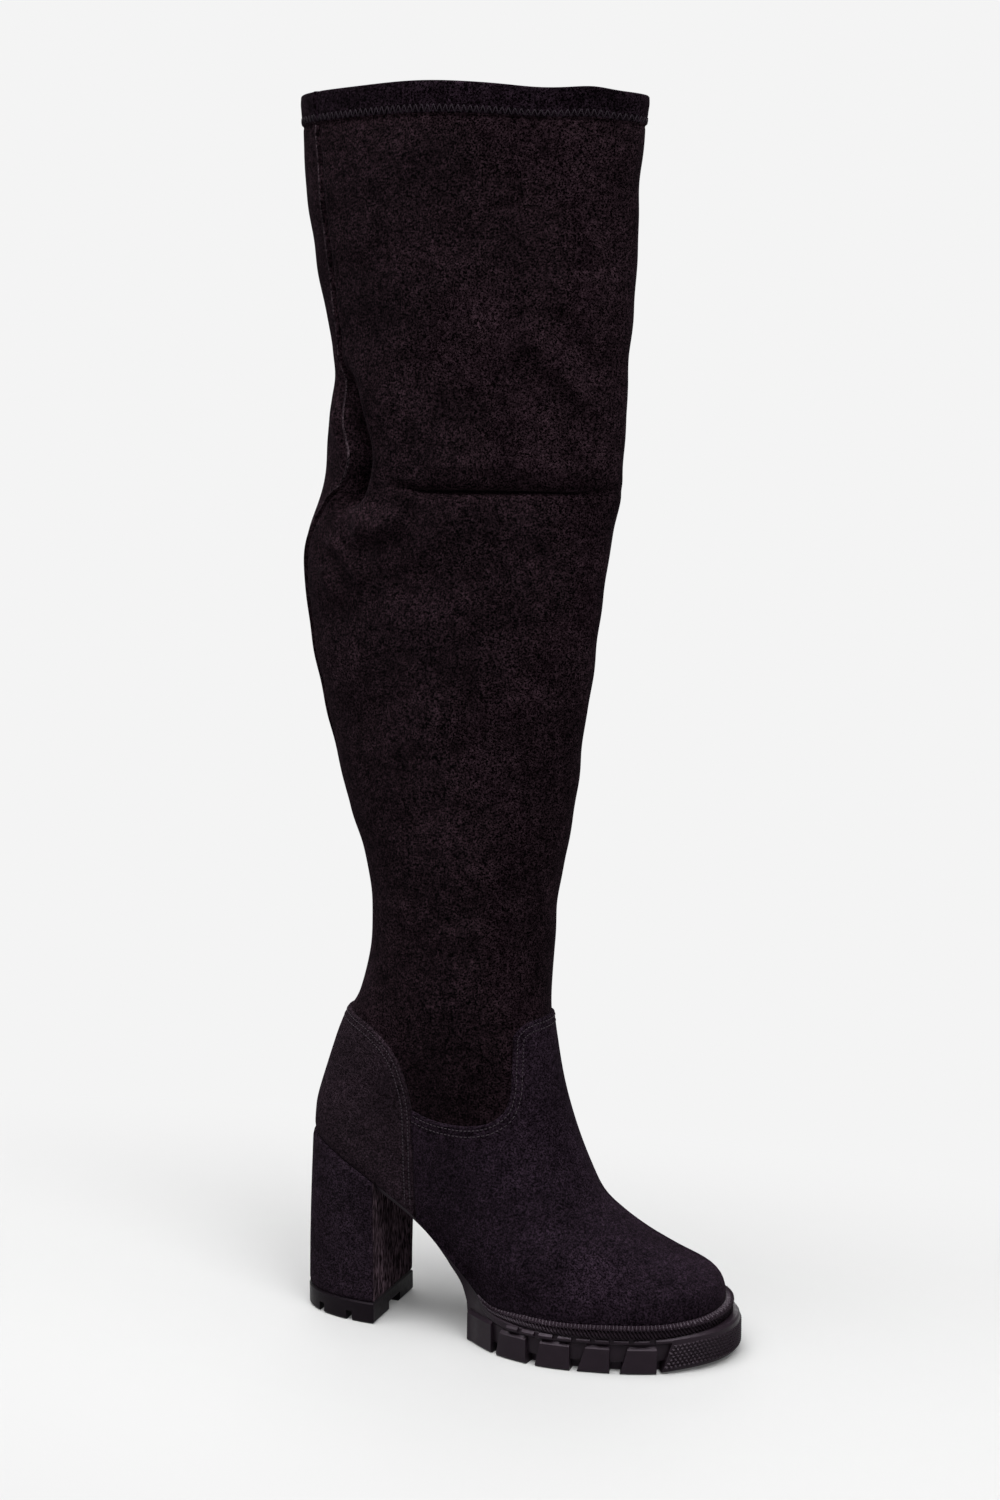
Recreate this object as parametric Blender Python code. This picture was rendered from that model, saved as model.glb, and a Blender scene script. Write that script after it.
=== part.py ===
"""Right over-the-knee boot on a block heel: hollow upper, panels, insole, lugged sole, rand and heel."""
import bpy
import bmesh
import numpy as np

# Sizes are in millimetres along the boot: x from the heel to the toe, -y the outer side, z from the floor
MM = 0.001
WALL = 1.8
GAP = 0.3
PANEL = 1.2
HEM_HEIGHT = 13.5
HEM_STEP = 0.9
AROUND = 36
RING_STEP = 0.72

# Bottom edge of the upper, heel to toe: height, centre line, and half widths to the outer and inner side
FEATHER_COLUMNS = ("x", "z", "centre", "outer", "inner")
FEATHER = (
    (10.5, 103.5, 0.0, 0.0, 0.0),
    (16.0, 101.2, 0.0, 15.0, 15.0),
    (30.0, 94.5, 0.0, 23.5, 23.5),
    (54.0, 81.0, 0.0, 27.0, 26.5),
    (77.0, 65.5, -0.5, 27.0, 25.5),
    (93.0, 51.0, -1.0, 27.5, 25.0),
    (108.0, 36.8, -1.0, 29.0, 26.5),
    (122.0, 24.0, -0.5, 32.5, 29.5),
    (140.0, 19.8, 0.0, 37.5, 35.5),
    (160.0, 19.3, 0.5, 42.0, 40.5),
    (185.0, 19.5, 1.5, 41.5, 42.0),
    (210.0, 19.9, 3.0, 35.5, 37.5),
    (228.0, 20.6, 4.5, 22.5, 25.5),
    (237.0, 21.2, 5.5, 0.0, 0.0),
)

# Sections from the bottom edge to the collar: back and front points, half widths, share of the sole's own
# outline and dip, and how far the sides rise above the ends
SECTION_COLUMNS = ("back_x", "back_z", "front_x", "front_z", "outer", "inner", "foot", "arch")
SECTIONS = (
    (10.5, 103.5, 237.0, 21.2, 42.5, 42.0, 1.00, 0.0),
    (10.0, 107.0, 238.4, 31.0, 44.0, 43.5, 1.00, 0.0),
    (10.2, 110.5, 233.0, 40.5, 44.0, 43.5, 0.97, 0.0),
    (10.6, 114.5, 216.0, 48.8, 43.0, 42.5, 0.93, 0.0),
    (11.2, 119.0, 199.0, 56.4, 41.5, 41.0, 0.86, 0.0),
    (12.6, 124.5, 182.6, 65.0, 40.0, 39.5, 0.77, 0.0),
    (14.6, 131.0, 172.0, 76.0, 38.5, 38.0, 0.65, 0.0),
    (17.4, 139.5, 164.0, 92.5, 37.0, 36.5, 0.50, 0.0),
    (20.6, 149.0, 156.4, 113.0, 36.0, 35.5, 0.34, 0.0),
    (24.6, 160.0, 150.0, 136.0, 35.5, 35.0, 0.20, 0.0),
    (30.0, 172.0, 146.0, 159.0, 35.0, 35.0, 0.08, 0.0),
    (36.5, 184.0, 143.6, 181.0, 35.0, 35.0, 0.00, 0.0),
    (43.0, 210.0, 145.0, 208.0, 34.5, 34.5, 0.00, 0.0),
    (43.8, 237.0, 147.4, 236.0, 34.0, 34.0, 0.00, 0.0),
    (37.5, 263.0, 151.4, 262.0, 33.5, 33.5, 0.00, 0.0),
    (26.2, 300.0, 157.8, 300.0, 33.0, 33.0, 0.00, 0.0),
    (17.6, 340.0, 163.8, 340.0, 32.5, 32.5, 0.00, 0.0),
    (9.4, 378.0, 169.4, 378.0, 32.0, 32.0, 0.00, 0.0),
    (4.8, 407.0, 172.4, 408.0, 32.0, 32.0, 0.00, 0.0),
    (7.6, 432.0, 176.8, 434.0, 32.0, 32.0, 0.00, 0.0),
    (17.0, 458.0, 182.2, 459.0, 32.5, 32.5, 0.00, 0.0),
    (21.2, 495.0, 183.6, 495.0, 33.0, 33.0, 0.00, 0.0),
    (23.0, 518.0, 184.6, 518.0, 33.5, 33.5, 0.00, 0.0),
    (16.6, 556.0, 187.2, 555.0, 34.5, 34.5, 0.00, 0.0),
    (9.6, 602.0, 189.8, 600.0, 36.0, 36.0, 0.00, 1.0),
    (7.8, 632.0, 191.6, 628.0, 37.0, 37.0, 0.00, 2.0),
    (7.6, 655.0, 193.0, 649.2, 37.5, 37.5, 0.00, 2.6),
)

# Panel edges in side view: x and z from the side seam to the front ridge or the back
SEAM_X = 78.0
VAMP_EDGE = ((78.0, 126.0), (88.0, 123.0), (100.0, 121.5), (112.0, 121.6), (122.0, 124.0), (128.5, 129.0),
             (131.2, 137.0), (131.5, 148.0), (131.0, 160.0), (131.8, 169.0), (135.5, 174.5), (150.0, 178.0))
COUNTER_EDGE = ((78.0, 126.0), (75.5, 138.0), (67.5, 156.0), (52.0, 168.0), (38.0, 172.0), (15.0, 173.0))
EDGE_POINTS = 24
PANEL_TOP = 12.0
CUT_REACH = 80.0
CUT_FRONT = 280.0
CUT_BACK = -20.0
CUT_LOW = -20.0

# Outsole: edge beyond the upper's bottom edge, under profile of the waist, tread depth and toe spring
BREAST_X = 54.0
EDGE_COLUMNS = ("x", "outer", "inner")
EDGE_MARGIN = (
    (54.0, 0.4, 0.4),
    (98.0, 0.0, 0.0),
    (107.0, -2.0, -1.0),
    (118.0, 1.5, 1.0),
    (129.0, 5.0, 3.0),
    (150.0, 6.8, 4.5),
    (168.0, 5.8, 5.0),
    (190.0, 4.8, 5.0),
    (216.0, 6.0, 6.0),
    (230.0, 8.5, 8.5),
    (237.0, 11.0, 11.0),
)
WAIST_UNDER = ((54.0, 78.0), (66.0, 70.6), (77.0, 63.2), (85.0, 56.6), (92.0, 49.2), (98.0, 41.0),
               (103.0, 31.5), (106.3, 20.5))
PLATFORM_X = 107.4
TREAD = 5.5
TOE_SPRING = ((190.0, 0.0), (215.0, 0.8), (237.0, 3.0))
EDGE_STEP = 4.2
EDGE_INSET = 1.6

# Side lugs: rear foot, rear top, front and height
LUGS = ((107.6, 108.0, 127.5, 17.5), (131.0, 134.0, 149.5, 15.0), (154.5, 157.5, 172.0, 15.0),
        (175.5, 180.5, 192.0, 15.0), (197.0, 201.0, 213.5, 15.0))
LUG_FOOT = 1.2
LUG_BEVEL = 1.6
LUG_TOP_INSET = 1.4
LUG_REACH = 15.0
BUMPER_X = 217.5
BUMPER_TOP = 16.0
BUMPER_PIECES = 8
PAD_INSET = 4.0
PAD_HEIGHT = 9.5
TREAD_PADS = ((124.0, 139.0), (146.0, 161.0), (168.0, 183.0), (190.0, 205.0))
RIB_FIRST = 138.0
RIB_PITCH = 9.4
RIB_LENGTH = 6.4
RIB_COUNT = 9
RIB_OUT = 0.9
RIB_ROOT = 3.0

# Rand: how far it stands off the panel, how high it reaches on the upper, its ends and its profile
RAND_X = 117.0
RAND_THICK = 2.8
RAND_TOP = 0.82
RAND_END_TOP = 0.25
RAND_END_THICK = 0.8
RAND_TAPER = 0.25
RAND_POINTS = 45
RAND_PROFILE = ((0.0, 0.0), (0.0, 1.0), (0.55, 1.05), (0.86, 1.0), (1.0, 0.55), (1.0, 0.0))

# Heel: breast, back and half width of the floor outline, share of the height and pull of each level,
# height of the cap, growth and height of its levels, and its grooves
HEEL_BREAST = 52.0
HEEL_BACK = 3.4
HEEL_HALF = 27.0
HEEL_ROUND = 2.2
HEEL_RIM = 3.2
HEEL_MIDDLE = (35.0, 0.0)
HEEL_FLARE = 1.6
HEEL_LEVELS = ((0.0, 0.6), (0.06, 0.0), (0.35, 0.0), (0.7, 0.0), (0.95, 0.0), (1.0, 0.7))
CAP_HEIGHT = 12.0
CAP_LEVELS = ((-0.8, 0.0), (0.3, 1.2), (0.3, 11.2), (-0.4, 12.0))
CAP_POINTS = 25
GROOVES_X = (18.0, 37.0)
GROOVE_WIDTH = 3.6
GROOVE_DEPTH = 5.5
NOTCH_Y = (-6.3, 9.0)
NOTCH_X = 40.0

# Insole
INSOLE_THICK = 3.0
INSOLE_INSET = 2.8


def curve(knots, values, at):
    """Smooth curve through table points, with slopes taken from the neighbours."""
    knots = np.asarray(knots, float)
    values = np.asarray(values, float)
    at = np.clip(np.asarray(at, float), knots[0], knots[-1])
    slopes = np.gradient(values, knots)
    i = np.clip(np.searchsorted(knots, at, side="right") - 1, 0, len(knots) - 2)
    step = knots[i + 1] - knots[i]
    u = (at - knots[i]) / step
    start = (1 + 2 * u) * (1 - u) ** 2 * values[i] + u * (1 - u) ** 2 * step * slopes[i]
    end = u * u * (3 - 2 * u) * values[i + 1] + u * u * (u - 1) * step * slopes[i + 1]
    return start + end


FEATHER_AT = dict(zip(FEATHER_COLUMNS, np.array(FEATHER).T))
SECTION_AT = dict(zip(SECTION_COLUMNS, np.array(SECTIONS).T))
TOP = len(SECTIONS) - 1
HEEL_X = FEATHER_AT["x"][0]
TOE_X = FEATHER_AT["x"][-1]


def angle_at(x):
    """Angle round the bottom edge for a place along it: 0 at the toe, pi at the heel."""
    share = np.clip((np.asarray(x, float) - HEEL_X) / (TOE_X - HEEL_X), 0.0, 1.0)
    return np.arccos(2 * share - 1)


FEATHER_ANGLES = angle_at(FEATHER_AT["x"])[::-1]


def feather(name, angle):
    folded = np.arccos(np.clip(np.cos(angle), -1, 1))
    return curve(FEATHER_ANGLES, FEATHER_AT[name][::-1], folded)


def section(name, t):
    return curve(np.arange(TOP + 1), SECTION_AT[name], t)


def skin_point(t, angle):
    """Point of the upper's outer face: t counts the sections, the outer side has angles 0 to pi."""
    t, angle = np.broadcast_arrays(np.asarray(t, float), np.asarray(angle, float))
    along = (1 + np.cos(angle)) / 2
    back_x = section("back_x", t)
    back_z = section("back_z", t)
    foot = section("foot", t)
    chord = FEATHER_AT["z"][0] + (FEATHER_AT["z"][-1] - FEATHER_AT["z"][0]) * along
    dip = feather("z", angle) - chord
    side = np.where(np.sin(angle) >= 0, 1.0, 0.0)
    sole = np.where(side > 0, feather("outer", angle) / FEATHER_AT["outer"].max(),
                    feather("inner", angle) / FEATHER_AT["inner"].max())
    half = np.where(side > 0, section("outer", t), section("inner", t))
    half = half * (foot * sole + (1 - foot) * np.abs(np.sin(angle)))
    x = back_x + (section("front_x", t) - back_x) * along
    y = foot * feather("centre", angle) + np.where(side > 0, -half, half)
    z = back_z + (section("front_z", t) - back_z) * along + foot * dip
    z = z + section("arch", t) * np.sin(angle) ** 2
    return np.stack([x, y, z], -1)


def skin(t, angle, offset):
    """Point a set distance outside the upper's outer face."""
    step = 0.02
    t = np.asarray(t, float)
    up = skin_point(np.minimum(t + step, TOP), angle) - skin_point(np.maximum(t - step, 0), angle)
    round_about = skin_point(t, angle + step) - skin_point(t, angle - step)
    out = np.cross(up, round_about)
    out = out / np.linalg.norm(out, axis=-1, keepdims=True)
    return skin_point(t, angle) + out * np.asarray(offset)[..., None]


def edge_margin(x, inner):
    """How far the sole's edge stands out from the upper's bottom edge."""
    at = dict(zip(EDGE_COLUMNS, np.array(EDGE_MARGIN).T))
    return np.where(inner, curve(at["x"], at["inner"], x), curve(at["x"], at["outer"], x))


def edge(x, inner, grow):
    """Plan point of the sole's edge at a place along it, on the outer or the inner side."""
    angle = angle_at(x)
    angle = np.where(inner, -angle, angle)

    def plan(a):
        half = np.where(np.sin(a) >= 0, -feather("outer", a), feather("inner", a))
        along = (1 + np.cos(a)) / 2
        return np.stack([HEEL_X + (TOE_X - HEEL_X) * along, feather("centre", a) + half], -1)

    tangent = plan(angle + 0.02) - plan(angle - 0.02)
    out = np.stack([-tangent[..., 1], tangent[..., 0]], -1)
    out = out / np.linalg.norm(out, axis=-1, keepdims=True)
    return plan(angle) + out * np.asarray(grow, float)[..., None]


RIM_ANGLES = np.linspace(np.pi, 0, AROUND // 2 + 1)
RIM_X = HEEL_X + (TOE_X - HEEL_X) * (1 + np.cos(RIM_ANGLES)) / 2


def bed(x):
    """Height of the upper's rim, straight between the rim's own points so that nothing overlaps."""
    return np.interp(x, RIM_X, feather("z", RIM_ANGLES))


def spring(x):
    return np.interp(x, *np.array(TOE_SPRING).T)


def material(name, colour, roughness):
    made = bpy.data.materials.new(name)
    made.use_nodes = True
    shader = made.node_tree.nodes["Principled BSDF"]
    shader.inputs["Base Color"].default_value = (*colour, 1.0)
    shader.inputs["Roughness"].default_value = roughness
    return made


def solid(name, points, faces, look):
    """Closed mesh object from points in millimetres, faces turned outward."""
    mesh = bpy.data.meshes.new(name)
    mesh.from_pydata([tuple(p) for p in np.asarray(points) * MM], [], faces)
    work = bmesh.new()
    work.from_mesh(mesh)
    bmesh.ops.recalc_face_normals(work, faces=work.faces)
    work.to_mesh(mesh)
    work.free()
    made = bpy.data.objects.new(name, mesh)
    bpy.context.scene.collection.objects.link(made)
    mesh.materials.append(look)
    return made


def shell(outer, inner):
    """Points and faces of the wall between two stacks of rings, open at both ends."""
    rows, columns = outer.shape[:2]
    points = np.concatenate([outer.reshape(-1, 3), inner.reshape(-1, 3)])
    far = rows * columns
    last = far - columns
    faces = []
    for c in range(columns):
        d = (c + 1) % columns
        for r in range(0, last, columns):
            faces.append((r + c, r + d, r + d + columns, r + c + columns))
            faces.append((r + c + far, r + c + columns + far, r + d + columns + far, r + d + far))
        faces.append((c, c + far, d + far, d))
        faces.append((last + c, last + d, last + d + far, last + c + far))
    return points, faces


def slab(levels):
    """Points and faces of a solid from stacked U-shaped outlines, each closed across like a ladder."""
    levels = np.asarray(levels)
    count = levels.shape[1]
    middle = count // 2
    faces = []
    for k in range(len(levels) - 1):
        a = k * count
        for i in range(count):
            j = (i + 1) % count
            faces.append((a + i, a + j, a + count + j, a + count + i))
    for a in (0, (len(levels) - 1) * count):
        for i in range(middle - 1):
            faces.append((a + i, a + i + 1, a + count - 2 - i, a + count - 1 - i))
        faces.append((a + middle - 1, a + middle, a + middle + 1))
    return levels.reshape(-1, 3), faces


def both_sides(x):
    """Places along the edge from the outer side round the end and back on the inner side."""
    x = np.asarray(x, float)
    inner = np.arange(2 * len(x) - 1) >= len(x)
    return np.concatenate([x, x[-2::-1]]), inner


HEM = TOP - HEM_HEIGHT / (SECTION_AT["back_z"][-1] - SECTION_AT["back_z"][-2])
RINGS = np.linspace(0, HEM - 0.03, round(HEM / RING_STEP))
ANGLES = np.linspace(0, 2 * np.pi, AROUND, endpoint=False)


def wall(rings, outside, inside):
    """Points and faces of a layer over the upper's outer face, with its bottom rim on the bed."""
    outer = skin(rings[:, None], ANGLES[None, :], outside[:, None])
    inner = skin(rings[:, None], ANGLES[None, :], inside[:, None])
    outer[0, :, 2] = bed(outer[0, :, 0])
    inner[0, :, 2] = bed(inner[0, :, 0])
    return shell(outer, inner)


def make_upper(look):
    rings = np.append(RINGS, [HEM + 0.01, TOP])
    outside = np.where(rings > HEM, HEM_STEP, 0.0)
    return solid("upper", *wall(rings, outside, np.full(len(rings), -WALL)), look)


def smooth_edge(rows):
    """Points along a smooth line through side-view points."""
    rows = np.array(rows)
    run = np.append(0, np.cumsum(np.linalg.norm(np.diff(rows, axis=0), axis=1)))
    at = np.linspace(0, run[-1], EDGE_POINTS)
    return np.column_stack([curve(run, rows[:, 0], at), curve(run, rows[:, 1], at)])


def make_panel(name, outline, look):
    """Panel over the upper, cut from a layer of its own shape by the panel's side view."""
    rings = RINGS[RINGS < PANEL_TOP]
    panel = solid(name, *wall(rings, np.full(len(rings), GAP + PANEL), np.full(len(rings), GAP)), look)
    reach = np.full(len(outline), CUT_REACH)
    loops = np.stack([np.column_stack([outline[:, 0], y, outline[:, 1]]) for y in (-reach, reach)])
    combine(panel, *loft(loops), "INTERSECT", look)
    return panel


def make_vamp(look):
    corners = ((CUT_FRONT, VAMP_EDGE[-1][1]), (CUT_FRONT, CUT_LOW), (SEAM_X, CUT_LOW))
    outline = np.concatenate([smooth_edge(VAMP_EDGE), corners]) + (GAP / 2, 0.0)
    return make_panel("vamp", outline, look)


def make_counter(look):
    corners = ((CUT_BACK, COUNTER_EDGE[-1][1]), (CUT_BACK, CUT_LOW), (SEAM_X, CUT_LOW))
    outline = np.concatenate([smooth_edge(COUNTER_EDGE), corners]) - (GAP / 2, 0.0)
    return make_panel("counter", outline, look)


def make_insole(look):
    along = np.concatenate([RIM_X, RIM_X[-2:0:-1]])
    count = len(along)
    half = count // 2
    plan = edge(along, np.arange(count) > half, np.full(count, -INSOLE_INSET))
    points = np.concatenate([np.column_stack([plan, bed(along) + rise]) for rise in (0.0, INSOLE_THICK)])
    faces = [(i, (i + 1) % count, (i + 1) % count + count, i + count) for i in range(count)]
    for a in (0, count):
        faces.append((a, a + 1, a + count - 1))
        faces.append((a + half - 1, a + half, a + half + 1))
        faces.extend((a + i, a + i + 1, a + count - 1 - i, a + count - i) for i in range(1, half - 1))
    return solid("insole", points, faces, look)


def block(rear, front, inner, profile, pieces):
    """Points and faces of a lug along the sole's edge; each profile row has grow, height and rear shift."""
    rows = []
    for grow, z, shift in profile:
        x = np.linspace(rear + shift, front, pieces)
        plan = edge(x, np.full(pieces, inner), edge_margin(x, inner) + grow)
        rows.append(np.column_stack([plan, np.full(pieces, z)]))
    return loft(np.array(rows).transpose(1, 0, 2))


def loft(loops):
    """Points and faces of a solid through closed loops, with flat ends."""
    count = loops.shape[1]
    faces = [tuple(range(count)), tuple(range((len(loops) - 1) * count, len(loops) * count))]
    for k in range(len(loops) - 1):
        for i in range(count):
            j = (i + 1) % count
            faces.append((k * count + i, k * count + j, (k + 1) * count + j, (k + 1) * count + i))
    return loops.reshape(-1, 3), faces


def bumper():
    """Points and faces of the toe bumper, round the toe from side to side."""
    x, inner = both_sides(BUMPER_X + (TOE_X - BUMPER_X) * np.sin(np.linspace(0, np.pi / 2, BUMPER_PIECES)))
    rows = []
    for grow, z in ((-LUG_FOOT, 0.0), (0.0, LUG_FOOT), (0.2, BUMPER_TOP - LUG_BEVEL), (-1.0, BUMPER_TOP),
                    (-LUG_REACH, BUMPER_TOP), (-LUG_REACH, 0.0)):
        plan = edge(x, inner, edge_margin(x, inner) + grow)
        rows.append(np.column_stack([plan, z + spring(x)]))
    return loft(np.array(rows).transpose(1, 0, 2))


def gathered(parts):
    points = []
    faces = []
    for some, sides in parts:
        start = sum(len(p) for p in points)
        points.append(some)
        faces.extend(tuple(start + i for i in side) for side in sides)
    return np.concatenate(points), faces


def box(low, high):
    corners = np.array([(x, y, z) for x in (low[0], high[0]) for y in (low[1], high[1])
                        for z in (low[2], high[2])], float)
    return corners, [(0, 1, 3, 2), (4, 6, 7, 5), (0, 4, 5, 1), (2, 3, 7, 6), (0, 2, 6, 4), (1, 5, 7, 3)]


def combine(target, points, faces, operation, look):
    """Join or cut a hidden helper mesh with the exact solver, then drop the helper."""
    helper = solid(target.name + "_tool", points, faces, look)
    helper.hide_render = True
    helper.display_type = "WIRE"
    step = target.modifiers.new("combine", "BOOLEAN")
    step.operation = operation
    step.solver = "EXACT"
    step.object = helper
    view = bpy.context.evaluated_depsgraph_get()
    result = bpy.data.meshes.new_from_object(target.evaluated_get(view))
    old = target.data
    target.modifiers.clear()
    target.data = result
    result.name = old.name
    bpy.data.meshes.remove(old)
    bpy.data.objects.remove(helper)


def make_outsole(look):
    waist_x, waist_z = np.array(WAIST_UNDER).T
    rim = RIM_X[RIM_X > waist_x[0] + 1]
    stations = np.sort(np.concatenate([waist_x, [PLATFORM_X], rim]))
    x, inner = both_sides(stations)
    low = np.where(x < PLATFORM_X, np.interp(x, waist_x, waist_z), TREAD + spring(x))
    high = bed(x) - GAP
    margin = edge_margin(x, inner)
    thick = high - low
    inset = EDGE_INSET * np.clip((thick - 4) / 8, 0.15, 1)
    step = np.minimum(EDGE_STEP, 0.45 * thick)

    def level(grow, z):
        return np.column_stack([edge(x, inner, margin + grow), z])

    levels = [level(-2.2 * inset, low), level(-1.2 * inset, low + 0.25 * step),
              level(-inset, high - step), level(-0.2 * inset, high - 0.85 * step), level(0 * inset, high)]
    core = solid("outsole", *slab(levels), look)
    parts = [bumper()]
    for rear, top, front, height in LUGS:
        lean = top - rear
        profile = ((-LUG_FOOT, 0.0, 0.0), (0.0, LUG_FOOT, 0.1 * lean), (0.0, height - LUG_BEVEL, 0.9 * lean),
                   (-LUG_TOP_INSET, height, lean), (-LUG_REACH, height, lean), (-LUG_REACH, 0.0, 0.0))
        for side in (False, True):
            parts.append(block(rear, front, side, profile, 5))
    for rear, front in TREAD_PADS:
        mid = np.full(2, (rear + front) / 2)
        outer, inside = edge(mid, np.array([False, True]), np.full(2, -LUG_REACH - PAD_INSET))[:, 1]
        parts.append(box((rear, outer, 0.0), (front, inside, PAD_HEIGHT)))
    for i in range(RIB_COUNT):
        rear = RIB_FIRST + i * RIB_PITCH
        top = bed((rear, rear + RIB_LENGTH)).min() - GAP
        profile = ((RIB_OUT, top - 0.8, 0.0), (RIB_OUT, top - 2.4, 0.0),
                   (-RIB_ROOT, top - 3.0, 0.0), (-RIB_ROOT, top - 0.5, 0.0))
        for side in (False, True):
            parts.append(block(rear, rear + RIB_LENGTH, side, profile, 2))
    combine(core, *gathered(parts), "UNION", look)
    return core


def make_rand(look):
    span = float(angle_at(RAND_X))
    angles = np.linspace(span, -span, RAND_POINTS)
    ends = np.clip((span - np.abs(angles)) / RAND_TAPER, 0.0, 1.0)
    high = RAND_END_TOP + (RAND_TOP - RAND_END_TOP) * ends
    thick = RAND_END_THICK + (RAND_THICK - RAND_END_THICK) * ends
    base = 2 * GAP + PANEL
    rows = [skin(high * rise, angles, base + thick * out) for rise, out in RAND_PROFILE]
    rows[0][:, 2] = rows[1][:, 2] = bed(skin_point(0, angles)[:, 0])
    return solid("rand", *loft(np.array(rows).transpose(1, 0, 2)), look)


def heel_outline(turn, breast, back, half):
    """Plan outline of the heel, from the outer breast corner round the back to the inner corner."""
    power = 2 / HEEL_ROUND
    x = breast - (breast - back) * np.sin(turn) ** power
    return np.column_stack([x, -half * np.sign(np.cos(turn)) * np.abs(np.cos(turn)) ** power])


def make_heel_block(look):
    rim = np.append(RIM_X[RIM_X < BREAST_X - 2], BREAST_X - GAP)
    seat_x, inner = both_sides(np.sort(np.concatenate([rim, (rim[1:] + rim[:-1]) / 2]))[::-1])
    turn = np.linspace(0, np.pi, len(seat_x))
    floor = heel_outline(turn, HEEL_BREAST, HEEL_BACK, HEEL_HALF)
    seat = edge(seat_x, inner, np.full(len(turn), HEEL_RIM))
    seat[0, 0] = seat[-1, 0] = BREAST_X - GAP
    top = bed(seat_x) - GAP
    levels = []
    for rise, pull in HEEL_LEVELS:
        plan = floor + (seat - floor) * rise ** HEEL_FLARE
        away = plan - HEEL_MIDDLE
        plan = plan - away / np.linalg.norm(away, axis=1, keepdims=True) * pull
        z = CAP_HEIGHT + GAP + (top - CAP_HEIGHT - GAP) * rise
        levels.append(np.column_stack([plan, z]))
    return solid("heel_block", *slab(levels), look)


def make_heel_cap(look):
    turn = np.linspace(0, np.pi, CAP_POINTS)
    levels = []
    for grow, z in CAP_LEVELS:
        plan = heel_outline(turn, HEEL_BREAST + grow, HEEL_BACK - grow, HEEL_HALF + grow)
        levels.append(np.column_stack([plan, np.full(len(turn), z)]))
    cap = solid("heel_cap", *slab(levels), look)
    parts = [box((x - GROOVE_WIDTH / 2, -40.0, -5.0), (x + GROOVE_WIDTH / 2, 40.0, GROOVE_DEPTH))
             for x in GROOVES_X]
    combine(cap, *gathered(parts), "DIFFERENCE", look)
    combine(cap, *box((NOTCH_X, NOTCH_Y[0], -5.0), (80.0, NOTCH_Y[1], GROOVE_DEPTH)), "DIFFERENCE", look)
    return cap


def main():
    for old in list(bpy.data.objects):
        bpy.data.objects.remove(old, do_unlink=True)
    suede = material("suede", (0.012, 0.009, 0.011), 0.95)
    rubber = material("rubber", (0.05, 0.046, 0.052), 0.6)
    lining = material("lining", (0.02, 0.018, 0.02), 0.9)
    boot = bpy.data.objects.new("boot", None)
    bpy.context.scene.collection.objects.link(boot)
    made = [make_upper(suede), make_vamp(suede), make_counter(suede), make_insole(lining),
            make_outsole(rubber), make_rand(rubber), make_heel_block(suede), make_heel_cap(rubber)]
    corners = np.array([v.co for piece in made for v in piece.data.vertices])
    low = corners.min(0)
    high = corners.max(0)
    boot.location = (-(low[0] + high[0]) / 2, -(low[1] + high[1]) / 2, -low[2])
    for piece in made:
        piece.parent = boot


main()
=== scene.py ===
import math

import bmesh
import bpy
import numpy as np
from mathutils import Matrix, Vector
from mathutils.kdtree import KDTree


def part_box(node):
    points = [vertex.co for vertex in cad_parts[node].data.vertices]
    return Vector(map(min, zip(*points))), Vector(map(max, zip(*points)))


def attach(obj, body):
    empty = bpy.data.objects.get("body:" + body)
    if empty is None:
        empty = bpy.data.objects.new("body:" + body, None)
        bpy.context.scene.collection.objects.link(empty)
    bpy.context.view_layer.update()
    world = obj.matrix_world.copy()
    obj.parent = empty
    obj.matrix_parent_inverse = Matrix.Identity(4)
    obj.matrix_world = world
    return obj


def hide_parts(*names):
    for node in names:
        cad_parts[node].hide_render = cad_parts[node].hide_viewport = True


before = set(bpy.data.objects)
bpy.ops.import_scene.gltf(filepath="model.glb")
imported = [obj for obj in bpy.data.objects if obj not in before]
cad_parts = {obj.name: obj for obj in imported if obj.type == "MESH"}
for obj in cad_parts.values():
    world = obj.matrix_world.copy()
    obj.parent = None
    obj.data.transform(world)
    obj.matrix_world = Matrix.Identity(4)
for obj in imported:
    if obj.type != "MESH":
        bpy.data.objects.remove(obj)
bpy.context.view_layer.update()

# Sizes are in millimetres along the boot: x from the heel to the toe, -y the outer side, z from the floor
MM = 0.001
WALL = 1.8
GAP = 0.3
PANEL = 1.2
HEM_HEIGHT = 16.2
HEM_STEP = 0.9

# Smallest difference that counts, and the step of a section or an angle over which slopes are taken
TINY = 0.01
TURN_STEP = 0.02

# Bottom edge of the upper, heel to toe: height, centre line, and half widths to the outer and inner side
FEATHER_COLUMNS = ("x", "z", "centre", "outer", "inner")
FEATHER = (
    (10.5, 103.5, 0, 0, 0),
    (16, 101.2, 0, 15, 15),
    (30, 94.5, 0, 23.5, 23.5),
    (54, 81, 0, 27, 26.5),
    (77, 65.5, -0.5, 27, 25.5),
    (93, 51, -1, 27.5, 25),
    (108, 36.8, -1, 29, 26.5),
    (122, 24, -0.5, 32.5, 29.5),
    (140, 19.8, 0, 37.5, 35.5),
    (160, 19.3, 0.5, 42, 40.5),
    (185, 19.5, 1.5, 41.5, 42),
    (210, 19.9, 3, 35.5, 37.5),
    (228, 20.6, 4.5, 22.5, 25.5),
    (237, 21.2, 5.5, 0, 0),
)

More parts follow.
